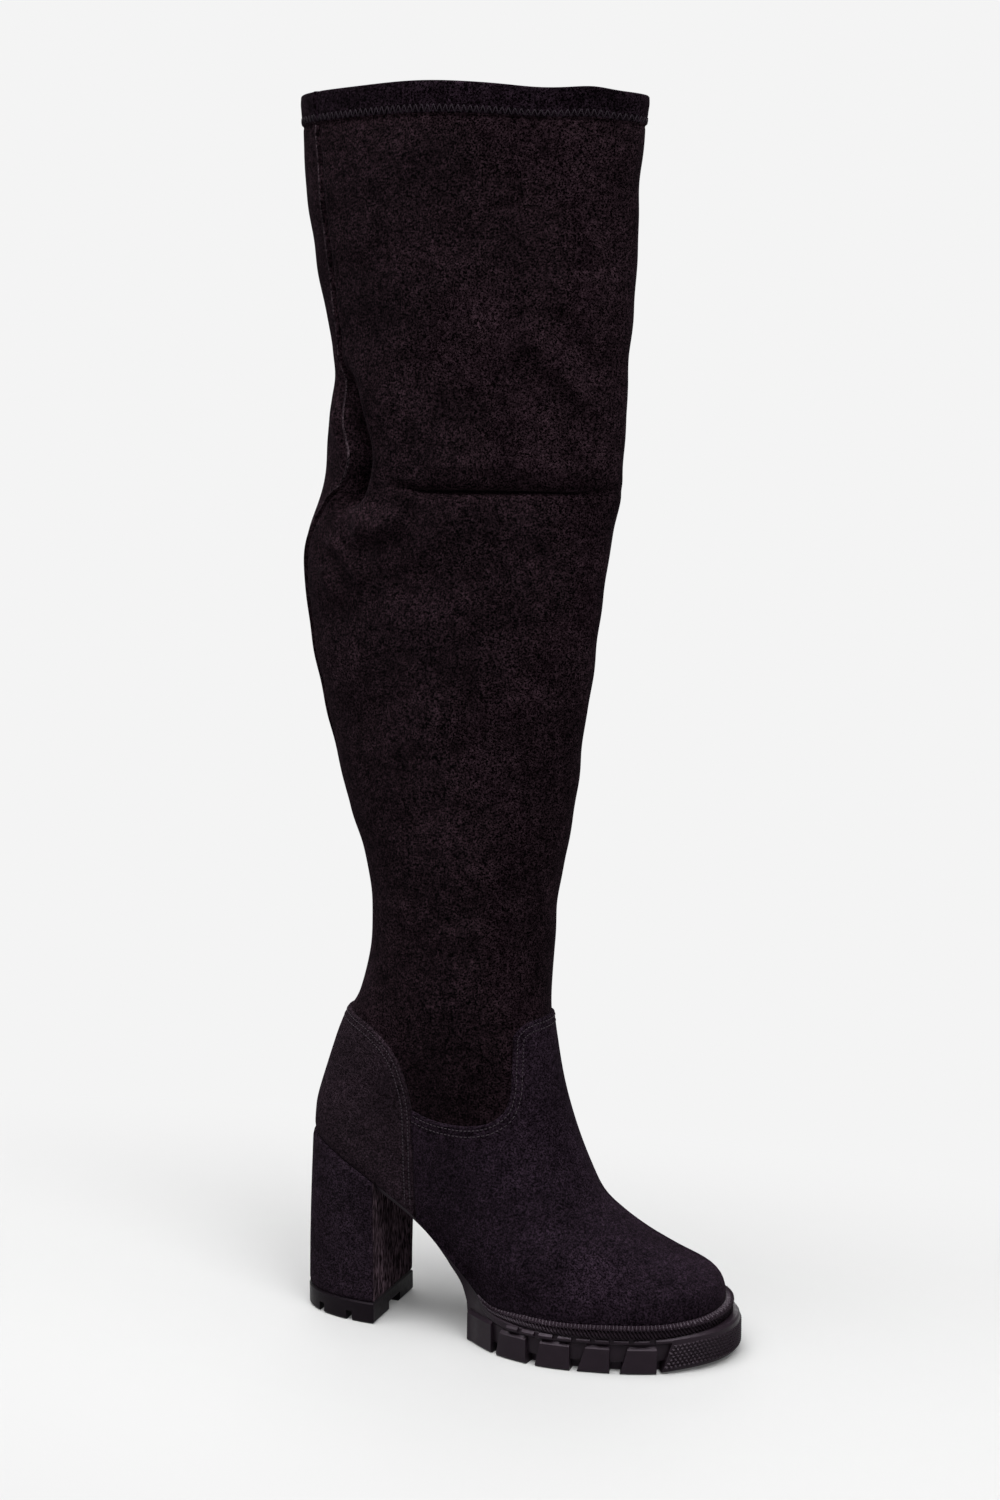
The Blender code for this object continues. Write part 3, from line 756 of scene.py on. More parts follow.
def faded(tree, socket, low, high, first, second):
    """Value that goes smoothly from the first to the second as a socket goes from low to high."""
    made = tree.nodes.new("ShaderNodeMapRange")
    made.interpolation_type = "SMOOTHSTEP"
    for name, value in zip(("From Min", "From Max", "To Min", "To Max"), (low, high, first, second)):
        made.inputs[name].default_value = value
    tree.links.new(socket, made.inputs["Value"])
    return made.outputs["Result"]


def bumped(tree, shader, layers):
    """Chain of bumps on the shader's normal; a layer has a height, a strength and a depth in millimetres."""
    before = None
    for height, strength, depth in layers:
        made = tree.nodes.new("ShaderNodeBump")
        made.inputs["Strength"].default_value = strength
        made.inputs["Distance"].default_value = depth * MM
        tree.links.new(height, made.inputs["Height"])
        if before is not None:
            tree.links.new(before, made.inputs["Normal"])
        before = made.outputs["Normal"]
    tree.links.new(before, shader.inputs["Normal"])


def with_painted_shade(tree, colour, centre, reach, share):
    """Colour with painted shade that darkens towards a centre in side view, from the far to the near reach.
    """
    middle = ((centre[0] + ORIGIN[0]) * MM, 0.0, centre[1] * MM)
    away = distance(tree, (1.0, 0.0, 1.0), middle)
    return multiplied(tree, colour, faded(tree, away, *scaled(reach, MM), share, 1.0))


def suede(name, colour, grain=EVEN, contrast=1.0, dark=None):
    """Brushed nap: slow brushed patches, mottling, fine dark and light fibres, and a fibrous bump; where
    asked, a patch of painted shade.
    """
    made, tree, shader = look(name, colour, 0.95, Specular_IOR_Level=0.0, Sheen_Weight=0.008,
                              Sheen_Roughness=0.5, Sheen_Tint=(0.9, 0.72, 0.86, 1.0))

    def layer(tint, scale, detail, low, high, depth):
        cloud = noise(tree, scale, detail, grain)
        return shaded(tree, cloud, tint, 1 - depth * contrast, 1 + depth * contrast, (low, high))

    base = layer(colour, *NAP_PATCHES)
    for row in NAP_LAYERS:
        base = multiplied(tree, base, layer(EVEN, *row))
    # painted shade in the recessed opening between the panels, where asked
    if dark:
        base = with_painted_shade(tree, base, *dark)
    tree.links.new(base, shader.inputs["Base Color"])
    bumped(tree, shader, [(noise(tree, scale, detail, grain), strength, depth)
                          for scale, detail, strength, depth in NAP_BUMPS])
    return made


def rubber(name, colour, gloss=0.12):
    """Moulded rubber with a faint grain and slightly uneven gloss."""
    made, tree, shader = look(name, colour, 0.4, Specular_IOR_Level=gloss,
                              Specular_Tint=(1.0, 0.86, 1.0, 1.0))
    tree.links.new(shaded(tree, noise(tree, 160.0, 4.0), colour, 0.88, 1.12), shader.inputs["Base Color"])
    tree.links.new(shaded(tree, noise(tree, 420.0, 3.0), EVEN, 0.32, 0.46), shader.inputs["Roughness"])
    bumped(tree, shader, [(noise(tree, 1400.0, 2.0), 0.25, 0.08)])
    return made


# Black thread with a lighter colour that is painted sheen, and a faint grain and bump
def thread_sheen_look(name, colour):
    made, tree, shader = look(name, colour, 0.7, Specular_IOR_Level=0.03)
    tree.links.new(shaded(tree, noise(tree, 2600.0, 1.0), colour, 0.7, 1.4), shader.inputs["Base Color"])
    bumped(tree, shader, [(noise(tree, 3200.0, 1.0), 0.4, 0.1)])
    return made


def knit(name, colour):
    """Plain stretch lining: fine wales up the shaft."""
    made, tree, shader = look(name, colour, 0.85, Specular_IOR_Level=0.1)
    wales = noise(tree, 900.0, 1.0, (1.0, 1.0, 0.25))
    tree.links.new(shaded(tree, wales, colour, 0.7, 1.35), shader.inputs["Base Color"])
    bumped(tree, shader, [(wales, 0.5, 0.25)])
    return made


# Upper

def fold_distance(points, path):
    """Distance of side-view points from a smooth path, and how far along it the nearest place is."""
    line = smooth_line(path, FOLD_POINTS)
    best = np.full(points.shape[:-1], np.inf)
    along = np.zeros(points.shape[:-1])
    for k in range(FOLD_POINTS - 1):
        run = line[k + 1] - line[k]
        u = np.clip(((points - line[k]) @ run) / (run @ run), 0, 1)
        away = np.linalg.norm(points - line[k] - u[..., None] * run, axis=-1)
        along = np.where(away < best, (k + u) / (FOLD_POINTS - 1), along)
        best = np.minimum(best, away)
    return best, along


def folded(t, angle, rows):
    """Sum of soft ridges and troughs along side-view paths, each faded at its ends."""
    side_view = skin_point(t, angle)[..., [0, 2]]
    height = np.zeros(side_view.shape[:-1])
    for side, rise, wide, path in rows:
        away, along = fold_distance(side_view, path)
        fade = smooth_step(along / FOLD_FADE) * smooth_step((1 - along) / FOLD_FADE)
        there = smooth_step((side * np.sin(angle) + FOLD_SIDE) / (2 * FOLD_SIDE))
        height += rise * bell(away / wide) * fade * there
    return height


def seam_angle(t):
    seam_z, seam_degrees = np.array(BACK_SEAM).T
    return np.radians(curve(seam_z, seam_degrees, section("back_z", t)))


def relief(t, angle):
    """Height of the folds, the back seam and the slow waves over the upper's plain form."""
    z = skin_point(t, angle)[..., 2]
    height = folded(t, angle, FOLDS)
    loose = smooth_step((z - LOOSE_FROM) / LOOSE_FADE)
    loose = loose * smooth_step((SECTION_AT["back_z"][-1] - z) / LOOSE_FADE)
    for rise, length, turns, phase in WAVES:
        height += loose * rise * np.sin(2 * np.pi * z / length + turns * angle + phase)
    turn = (angle - seam_angle(t) + np.pi) % (2 * np.pi) - np.pi
    across = turn * np.linalg.norm(slopes(t, angle)[1], axis=-1)
    ridge = BACK_SEAM_RISE * bell(across / BACK_SEAM_WIDE)
    groove = BACK_SEAM_GROOVE * bell(across / BACK_SEAM_WIDE + BACK_SEAM_ASIDE)
    return height + (ridge - groove) * smooth_step((z - BACK_SEAM_FROM) / BACK_SEAM_FADE)


def hem(t):
    """Step of the folded hem, pressed in along its zigzag and full above it."""
    below_rim = (TOP - t) * HEM_HEIGHT / (TOP - HEM)
    below_edge = below_rim - HEM_HEIGHT
    band = HEM_STEP * smooth_step((t - HEM) / HEM_EDGE)
    pressed = np.where(t > HEM, swell(below_edge, *HEM_PRESSED), 0.0)
    return band - pressed + swell(below_rim, *HEM_FULL) - swell(below_edge, *HEM_UNDER)


def collar(t, angle):
    """Rise and fall of the collar's rim, fading out below the hem."""
    degrees = np.degrees(angle) % 360
    rise = sum(swell(degrees, *row) for row in COLLAR_WAVES)
    return rise * smooth_step((t - HEM) / (TOP - HEM) + 0.5)


def shell(t, angle, offset):
    """Point a set distance outside the dressed upper, with its relief, sags and wavy collar."""
    point = skin(t, angle, relief(t, angle) + offset)
    point[..., 2] += collar(t, angle) - folded(t, angle, SAGS)
    return point


def ring_places():
    """Values of t for the rings, closest at the knee crease and the hem."""
    fine = np.linspace(0, TOP, RING_SAMPLES)
    z = section("front_z", fine)

    def pace(end):
        return np.hypot(np.gradient(section(end + "_x", fine)), np.gradient(section(end + "_z", fine)))

    close = np.full(len(fine), RING_STEP)
    for low, high, step in RING_ZONES:
        close[(z > low) & (z < high)] = step
    close[fine > HEM - RING_HEM[0]] = RING_HEM[1]
    close[fine < RING_FOOT[0]] = RING_FOOT[1]
    run = np.cumsum(np.maximum(pace("front"), pace("back")) / close)
    return np.interp(np.linspace(run[0], run[-1], int(run[-1])), run, fine)


def make_upper(*cloths):
    """Outer face with the hem, rolled rim and lining in one mesh, with a look for each, and a painted
    highlight along the back seam's crest.
    """
    columns = UPPER_COLUMNS
    share = np.linspace(0, 2 * np.pi, columns, endpoint=False)[None, :]
    from_seam = share - SEAM_GATHER * np.sin(share)
    thick = WALL + HEM_STEP
    rim = thick / 2
    rim_t = rim / (HEM_HEIGHT / (TOP - HEM))
    rings = ring_places()
    rings = np.append(rings[rings < TOP - rim_t - TINY], TOP - rim_t)[:, None]
    outer = shell(rings, seam_angle(rings) + from_seam, hem(rings))
    inner_rings = np.append(rings[:-1:LINING_EVERY], rings[-1])[:, None]
    inner = shell(inner_rings, seam_angle(inner_rings) + from_seam, -WALL)
    roll = np.linspace(0, np.pi, ROLL_ROWS)[1:-1][:, None]
    last = hem(rings[-1:])
    offset = (last - WALL) / 2 + (last + WALL) / 2 * np.cos(roll)
    over = shell(float(TOP), seam_angle(TOP) + from_seam, offset)
    over[..., 2] -= rim * (1 - np.sin(roll))
    stack = np.concatenate([outer, over, inner[::-1]])
    faces = grid(len(stack), columns, around=True)
    low = (len(stack) - 1) * columns
    for c in range(columns):
        d = (c + 1) % columns
        faces.append([c, d, low + d, low + c])
    made = mesh_object("upper_shell", stack.reshape(-1, 3), faces)
    dress(made, "upper_suede", cloths, "upper")
    finish = np.zeros(len(made.data.polygons), np.int32)
    finish[(rings < HEM).sum() * columns:] = HEMMED
    finish[(len(outer) + len(over)) * columns:] = LINED
    # Painted highlight: the faces along the back seam's crest take a lighter suede
    crest = np.arange((rings < SEAM_FROM).sum(), (rings < HEM).sum()) * columns
    finish[crest] = CREST_HIGHLIGHT
    finish[crest + columns - 1] = CREST_HIGHLIGHT
    made.data.polygons.foreach_set("material_index", finish)
    return made


def make_hem_stitch(thread):
    """Zigzag of thread round the hem."""
    fine = np.linspace(0, 2 * np.pi, HEM_SAMPLES)
    run = run_along(skin_point(HEM, fine))
    count = 2 * int(run[-1] / HEM_PITCH)
    turns = np.interp(np.linspace(0, run[-1], count + 1), run, fine)
    per_mm = (TOP - HEM) / HEM_HEIGHT
    places = HEM + per_mm * np.where(np.arange(count + 1) % 2, HEM_ZIGZAG[1], HEM_ZIGZAG[0])
    at = shell(places, turns, hem(places))
    normal = outward(places, turns)
    points, faces = stitches(at[:-1], at[1:], unit(normal[:-1] + normal[1:]), THREAD)
    return dress(mesh_object("hem_zigzag", points, faces), "upper_suede", (thread,))


# Panels

def below(path, x, z):
    """Where side-view points lie below a panel's edge, which never runs back on itself."""
    line = smooth_line(path, EDGE_SAMPLES)
    return z < np.interp(x, np.maximum.accumulate(line[:, 0]), line[:, 1])


def in_vamp(x, z):
    return (x > SEAM_X) & below(VAMP_EDGE, x, z)


def in_counter(x, z):
    return (x < SEAM_X) & below(COUNTER_EDGE, x, z)


def crossing(angles, inside, last):
    """Where each angle's line leaves the panel, or where it enters it."""
    t = np.linspace(0, PANEL_TOP, CROSS_SAMPLES)
    p = skin_point(t[:, None], angles[None, :])
    within = inside(p[..., 0], p[..., 2])
    if last:
        i = len(t) - 1 - within[::-1].argmax(0)
        good, bad = t[i], t[np.minimum(i + 1, len(t) - 1)]
    else:
        i = within.argmax(0)
        good, bad = t[i], t[np.maximum(i - 1, 0)]
    for _ in range(CROSS_HALVINGS):
        mid = (good + bad) / 2
        p = skin_point(mid, angles)
        keep = inside(p[..., 0], p[..., 2])
        good = np.where(keep, mid, good)
        bad = np.where(keep, bad, mid)
    return good


def spaced(angles, t, count):
    """Angles spread evenly, half by the length of the panel's edge and half by angle."""
    length = run_along(skin_point(t, angles))
    share = (length / length[-1] + np.abs(angles - angles[0]) / abs(angles[-1] - angles[0])) / 2
    return np.interp(np.linspace(0, 1, count), share, angles)


def nearest(points, line):
    """Distance of each point from the nearest point of a line."""
    tree = KDTree(len(line))
    for i, place in enumerate(line):
        tree.insert(place, i)
    tree.balance()
    return np.array([tree.find(p)[2] for p in points.reshape(-1, 3)]).reshape(points.shape[:-1])


def panel(name, t, angles, sewn, bare, sunk, cloth, node):
    """Closed panel, rounded at its sewn and bare edges and pressed in along its stitches and sunk lines."""
    angles = np.broadcast_to(angles, t.shape)
    plain = skin_point(t, angles)
    away = np.min([nearest(plain, line) for line in sewn], axis=0)
    free = np.min([away] + [nearest(plain, line) for line in bare], axis=0)
    short = 1 - np.clip(free / EDGE_ROUND, 0, 1)
    height = PANEL * np.sqrt(1 - short ** 2)
    for row in STITCH_ROWS:
        height -= swell(away, STITCH_SINK, row, STITCH_SINK_WIDE)
    for line in sunk:
        height -= SEAM_SINK * bell(nearest(plain, line) / SEAM_SINK_WIDE)
    outer = skin(t, angles, GAP + np.maximum(height, PANEL_LEAST))
    inner = skin(t, angles, PANEL_INSIDE)
    rows, columns = t.shape
    far = rows * columns
    faces = grid(rows, columns)
    faces += [[i + far for i in side[::-1]] for side in faces]
    ring = [*range(columns), *range(2 * columns - 1, far, columns), *range(far - 2, far - columns - 1, -1),
            *range(far - 2 * columns, 0, -columns)]
    faces += [[a, b, b + far, a + far] for a, b in zip(ring, ring[1:] + ring[:1])]
    points = np.concatenate([outer.reshape(-1, 3), inner.reshape(-1, 3)])
    return dress(mesh_object(name, points, faces), "panel_suede", (cloth,), node)


def seam_line(sign):
    """Points of the side seam below the panels' meeting point, on one side of the boot."""
    t = np.linspace(0, *SEAM_SECTIONS)
    ends, count = SEAM_ANGLES
    angles = sign * np.linspace(ends, np.pi - ends, count)
    p = skin_point(t[:, None], angles[None, :])
    i = np.abs(p[..., 0] - SEAM_X).argmin(1)
    found = p[np.arange(len(t)), i]
    return found[found[:, 2] < VAMP_EDGE[0][1]]


def make_vamp(cloth):
    """Vamp panel; gives back the places along its sewn edge and the edge's inward side."""
    start = float(angle_at(SEAM_X)) - VAMP_CLEAR
    fine = np.linspace(start, -start, EDGE_FINE)
    top = crossing(fine, in_vamp, True)
    rows, columns = VAMP_GRID
    angles = spaced(fine, top, columns)
    share = 1 - (1 - np.linspace(0, 1, rows)) ** VAMP_EASE
    t = share[:, None] * crossing(angles, in_vamp, True)
    rim = skin_point(top, fine)
    seams = np.concatenate([seam_line(1), seam_line(-1)])
    panel("vamp_panel", t, angles, [rim], [], [seams], cloth, "vamp")
    free = rim[:, 0] > SEAM_X + SEAM_CLEAR
    return top[free], fine[free], VAMP_INWARD


def make_counter(cloth):
    """Counter panel; gives back the places along its sewn edges and their inward side."""
    first, count = COUNTER_AHEAD
    ahead = np.linspace(first, np.pi, count)
    reach = crossing(ahead, in_counter, True)
    hold = in_counter(*skin_point(reach, ahead)[:, [0, 2]].T)
    start = ahead[hold.argmax()] + COUNTER_CLEAR
    fine = np.linspace(start, 2 * np.pi - start, EDGE_FINE)
    top = crossing(fine, in_counter, True)
    low = crossing(fine, in_counter, False)
    rows, columns = COUNTER_GRID
    angles = spaced(fine, top, columns)
    share = 0.5 - 0.5 * np.cos(np.linspace(0, np.pi, rows))
    upper_t = crossing(angles, in_counter, True)
    lower_t = crossing(angles, in_counter, False)
    t = lower_t + share[:, None] * (upper_t - lower_t)
    sewn = low > TINY
    seam = skin_point(low, fine)[sewn]
    rim = skin_point(top, fine)
    foot = skin_point(0.0, fine[~sewn])
    panel("counter_panel", t, angles, [rim, seam], [foot], [], cloth, "counter")
    outer = (sewn & (fine < np.pi)).nonzero()[0][::-1]
    inner = (sewn & (fine > np.pi)).nonzero()[0][::-1]
    edge_t = np.concatenate([low[outer], top, low[inner]])
    return edge_t, np.concatenate([fine[outer], fine, fine[inner]]), COUNTER_INWARD


def slide(t, angle, move):
    """Place on the upper whose point lies a small move away from the point of a given place."""
    aim = skin_point(t, angle) + move
    for _ in range(SLIDE_STEPS):
        left = aim - skin_point(t, angle)
        up, about = slopes(t, angle)
        pairs = ((up, up), (up, about), (about, about), (left, up), (left, about))
        uu, ua, aa, lu, la = ((a * b).sum(-1) for a, b in pairs)
        whole = uu * aa - ua * ua
        t = np.clip(t + (lu * aa - la * ua) / whole, 0, TOP)
        angle = angle + (la * uu - lu * ua) / whole
    return t, angle


def stitch_row(t, angle, inward, aside):
    """Stitches along a panel's edge, a set distance in from it."""
    run = run_along(skin_point(t, angle))

    def place(at):
        return np.interp(at, run, t), np.interp(at, run, angle)

    middles = np.arange(STITCH_PITCH, run[-1] - STITCH_PITCH, STITCH_PITCH)
    rows = []
    for shift in (-STITCH_LENGTH / 2, STITCH_LENGTH / 2):
        at = middles + shift
        here = place(at)
        ahead = unit(skin_point(*place(at + STITCH_REACH)) - skin_point(*place(at - STITCH_REACH)))
        in_from_edge = inward * unit(np.cross(outward(*here), ahead))
        rows.append(slide(*here, aside * in_from_edge))
    starts, ends = (skin(*row, GAP + PANEL - STITCH_DEEP) for row in rows)
    return stitches(starts, ends, outward(*rows[0]), THREAD)


def make_panel_stitches(edges, thread):
    """Double rows of stitches inside each panel edge; every edge has its places and its inward side."""
    parts = [stitch_row(t, angle, inward, aside) for t, angle, inward in edges for aside in STITCH_ROWS]
    return dress(mesh_object("panel_stitches", *gathered(parts)), "panel_suede", (thread,))


# Sole

def blocks(rear, front, profile, pieces):
    """A block on each side along the sole's edge; each profile row has growth, height and rear shift."""
    made = []
    for inner in (False, True):
        rows = []
        for grow, z, shift in profile:
            x = np.linspace(rear + shift, front, pieces)
            plan = edge(x, np.full(pieces, inner), edge_margin(x, inner) + grow)
            rows.append(np.column_stack([plan, np.full(pieces, z)]))
        made.append(loft(np.array(rows).transpose(1, 0, 2)))
    return made


def toe_sides(rear, count):
    """Places along the edge from a rear end on the outer side round the toe to the inner side."""
    return both_sides(rear + (TOE_X - rear) * np.sin(np.linspace(0, np.pi / 2, count)))


def bumper():
    """Points and faces of the toe bumper, round the toe from side to side and up to the platform's top."""
    rows = []
    for grow, share in BUMPER_ROWS:
        rear = BUMPER_X + BUMPER_LEAN * share
        x, inner = toe_sides(rear, BUMPER_COLUMNS)
        plan = edge(x, inner, edge_margin(x, inner) + grow)
        top = bed(x) - 2 * GAP
        rows.append(np.column_stack([plan, spring(x) + (top - spring(x)) * share]))
    return loft(np.array(rows).transpose(1, 0, 2))


def bumper_points():
    """Staggered rows of small pyramids over the bumper's face."""
    x, inner = toe_sides(BUMPER_X, KNURL_SAMPLES)
    plan = edge(x, inner, edge_margin(x, inner) + KNURL_OUT)
    run = run_along(plan)
    half = KNURL_FILL * BUMPER_PITCH
    tall = KNURL_FILL * BUMPER_ROW
    parts = []
    for row in range(int((KNURL_TOP - KNURL_LOW) / BUMPER_ROW)):
        z = KNURL_LOW + (row + 0.5) * BUMPER_ROW
        rear = BUMPER_X + BUMPER_LEAN * z / bed(BUMPER_X) + half
        at = np.arange((row % 2) * BUMPER_PITCH / 2, run[-1], BUMPER_PITCH)
        for s in at[np.interp(at, run, x) > rear]:
            here = np.array([np.interp(s, run, side) for side in plan.T])
            ahead = unit(np.array([np.interp(s + KNURL_AHEAD, run, side) for side in plan.T]) - here)
            out = np.array([ahead[1], -ahead[0]])
            level = z + float(spring(here[0]))
            corners = [(*(here + a * half * ahead), level + b * tall) for a, b in SQUARE]
            corners.append((*(here + BUMPER_POINT * out), level))
            parts.append((np.array(corners), PYRAMID))
    return gathered(parts)


def sole_wall():
    """Waist and platform of the sole, with the wall stepped in below its band."""
    waist_x, waist_z = np.array(WAIST_UNDER).T
    waist = np.linspace(BREAST_X, waist_x[-1], WAIST_PIECES)
    fore = x_at(np.linspace(float(angle_at(PLATFORM_X)), 0.0, FORE_PIECES))
    x, inner = both_sides(np.append(waist, fore))
    low = np.where(x < PLATFORM_X - TINY, curve(waist_x, waist_z, x), TREAD + spring(x))
    high = bed(x) - GAP
    margin = edge_margin(x, inner)
    least, more, share = EDGE_THIN
    thin = np.clip((high - low - least) / more, share, 1)
    step = np.minimum(EDGE_STEP, EDGE_STEP_SHARE * (high - low))
    sides = [(inset, low + rise * step) for inset, rise in LOW_LEVELS]
    sides += [(inset, high - drop * step) for inset, drop in HIGH_LEVELS]
    return slab([np.column_stack([edge(x, inner, margin - inset * thin), z]) for inset, z in sides])


def make_outsole(rubber_look):
    """Sole with its lugs, webs, toe bumper, tread pads and dashes on the band."""
    parts = [sole_wall(), bumper(), bumper_points()]
    for rear, top, front, height in LUGS:
        foot_lean, top_lean = scaled(LUG_LEAN, top - rear)
        profile = ((-LUG_FOOT, 0.0, 0.0), (0.0, LUG_FOOT, foot_lean), (0.0, height - LUG_BEVEL, top_lean),
                   (-LUG_TOP_INSET, height, top - rear), (-LUG_REACH, height, top - rear),
                   (-LUG_REACH, 0.0, 0.0))
        parts += blocks(rear, front, profile, LUG_PIECES)
    ends = [lug[2] for lug in LUGS]
    starts = [lug[0] for lug in LUGS[1:]] + [BUMPER_X]
    for rear, front in zip(ends, starts):
        parts += blocks(rear - WEB_RISE, front + WEB_RISE, WEB_PROFILE, WEB_PIECES)
    for rear, front in TREAD_PADS:
        mid = np.full(2, (rear + front) / 2)
        outer, inside = edge(mid, np.array([False, True]), np.full(2, -LUG_REACH - PAD_INSET))[:, 1]
        parts.append(box((rear, outer, 0.0), (front, inside, PAD_HEIGHT)))
    for i in range(RIB_COUNT):
        rear = RIB_FIRST + i * RIB_PITCH
        top = bed(np.array((rear, rear + RIB_LENGTH))).min() - GAP
        profile = [(RIB_OUT - BAND_INSET + grow, top - drop, 0.0) for grow, drop in RIB_PROFILE]
        parts += blocks(rear, rear + RIB_LENGTH, profile, RIB_PIECES)
    made = mesh_object("outsole_body", *gathered(parts), sharp=RUBBER_SHARP)
    bevel(made, RUBBER_BEVEL)
    return dress(made, "sole_rubber", (rubber_look,), "outsole")


def make_rand(rubber_look):
    """Half-round strip with slanting ribs over its face."""
    span = float(angle_at(RAND_X))
    fine = np.linspace(span, -span, RAND_SAMPLES)
    run = run_along(skin(RAND_LINE[0], fine, RAND_LINE[1]))
    along = np.linspace(0, run[-1], RAND_COLUMNS)
    angles = np.interp(along, run, fine)
    ends = np.clip((span - np.abs(angles)) / RAND_TAPER, 0.0, 1.0)
    ribbed = np.minimum(RAND_RIB_ENDS * ends, 1.0)
    toe = smooth_step((RAND_TOE_TURN[0] - np.abs(angles)) / RAND_TOE_TURN[1])
    high = RAND_END_TOP + (RAND_TOP - RAND_END_TOP) * ends - RAND_TOE_LOW * toe
    thick = RAND_END_THICK + (RAND_THICK - RAND_END_THICK) * ends + RAND_TOE_OUT * toe
    base = 2 * GAP + PANEL
    low_fade, top_fade = RAND_FACE_FADE
    crest_from, crest_fade, end_fade = RAND_CREST_FADE
    rows = [skin(0.0, angles, base)]
    for v in np.linspace(0, 1, RAND_ROWS):
        if v < RAND_SHOULDER:
            bulge = RAND_FACE[0] + RAND_FACE[1] * np.sin(np.pi * v / RAND_SHOULDER)
        else:
            bulge = 1.0 - ((v - RAND_SHOULDER) / (1 - RAND_SHOULDER)) ** 2
        rib = np.sin(2 * np.pi * (along + RAND_SLANT * v) / RAND_PITCH)
        face = smooth_step(v / low_fade) * smooth_step((1 - v) / top_fade)
        crest = RAND_RIB_TOP * smooth_step((v - crest_from) / crest_fade) * smooth_step((1 - v) / end_fade)
        out = base + thick * bulge + RAND_RIB * rib * face * ribbed
        rows.append(skin(high * v + crest * rib * ribbed, angles, out))
    made = mesh_object("rand_strip", *loft(np.array(rows).transpose(1, 0, 2)), sharp=60)
    return dress(made, "sole_rubber", (rubber_look,), "rand")


# Heel

def heel_outline(turn, breast, back, half):
    """Plan outline of the heel, from the outer breast corner round the back to the inner corner."""
    power = 2 / HEEL_ROUND
    x = breast - (breast - back) * np.sin(turn) ** power
    return np.column_stack([x, -half * np.sign(np.cos(turn)) * np.abs(np.cos(turn)) ** power])


def make_heel_block(cloth, breast_grain_and_light):
    """Covered block from the cap's outline up to the heel seat; the breast's own look is painted light over
    upright grain.
    """
    first = float(angle_at(BREAST_X - GAP))
    seat_angle = np.linspace(first, 2 * np.pi - first, HEEL_COLUMNS)
    seat_x = x_at(seat_angle)
    inner = np.sin(seat_angle) < 0
    turn = np.linspace(0, np.pi, len(seat_x))
    floor = heel_outline(turn, HEEL_BREAST, HEEL_BACK, HEEL_HALF)
    seat = edge(seat_x, inner, np.full(len(turn), HEEL_RIM))
    seat[0, 0] = seat[-1, 0] = BREAST_X - GAP
    top = bed(seat_x) - GAP
    pull_at, pull_by = np.array(HEEL_PULL).T
    rises = np.unique(np.concatenate([pull_at, np.linspace(0, 1, HEEL_ROWS)]))
    levels = []
    for rise in rises:
        plan = floor + (seat - floor) * rise ** HEEL_FLARE
        away = plan - HEEL_MIDDLE
        plan = plan - away / np.linalg.norm(away, axis=1, keepdims=True) * np.interp(rise, pull_at, pull_by)
        z = CAP_HEIGHT + GAP + (top - CAP_HEIGHT - GAP) * rise
        levels.append(np.column_stack([plan, z]))
    made = mesh_object("heel_cover", *slab(levels), sharp=35)
    dress(made, "heel_suede", (cloth, breast_grain_and_light), "heel_block")
    # Faces turned to the toe take the breast look: its upright grain is real, its lighter colour is painted
    # light
    for side in made.data.polygons:
        side.material_index = int(side.normal.x > BREAST_FACING)
    bevel(made, HEEL_CORNER, segments=4)
    return made


def make_heel_cap(rubber_look):
    """Top piece under the heel, with cross grooves and a notch at the breast."""
    turn = np.linspace(0, np.pi, CAP_COLUMNS)
    levels = []
    for grow, z in CAP_LEVELS:
        plan = heel_outline(turn, HEEL_BREAST + grow, HEEL_BACK - grow, HEEL_HALF + grow)
        levels.append(np.column_stack([plan, np.full(len(turn), z)]))
    made = mesh_object("heel_top_piece", *slab(levels))
    half = GROOVE_WIDTH / 2
    grooves = [box((x - half, -CUT_REACH, -CUT_REACH), (x + half, CUT_REACH, GROOVE_DEPTH))
               for x in GROOVES_X]
    cut(made, *gathered(grooves))
    cut(made, *box((NOTCH_X, NOTCH_Y[0], -CUT_REACH), (CUT_REACH, NOTCH_Y[1], GROOVE_DEPTH)))
    made.data.shade_smooth()
    made.data.set_sharp_from_angle(angle=math.radians(RUBBER_SHARP))
    bevel(made, RUBBER_BEVEL)
    return dress(made, "sole_rubber", (rubber_look,), "heel_cap")


def make_insole(cloth):
    """Thin bed with rounded edges."""
    along, inner = both_sides(x_at(np.linspace(np.pi, 0, INSOLE_COLUMNS)))
    levels = []
    for inset, rise in INSOLE_LEVELS:
        plan = edge(along, inner, np.full(len(along), -INSOLE_INSET - inset))
        levels.append(np.column_stack([plan, bed(along) + rise]))
    return dress(mesh_object("insole_bed", *slab(levels), sharp=50), "insole", (cloth,), "insole")


# Camera, lights and floor

def make_camera():
    data = bpy.data.cameras.new("camera")
    data.lens = CAMERA_LENS
    made = linked("camera", data)
    made.location = (np.array(CAMERA_AT) + ORIGIN) * MM
    made.rotation_euler = (math.radians(90 - CAMERA_FALL), 0.0, math.radians(CAMERA_TURN))
    bpy.context.scene.camera = made


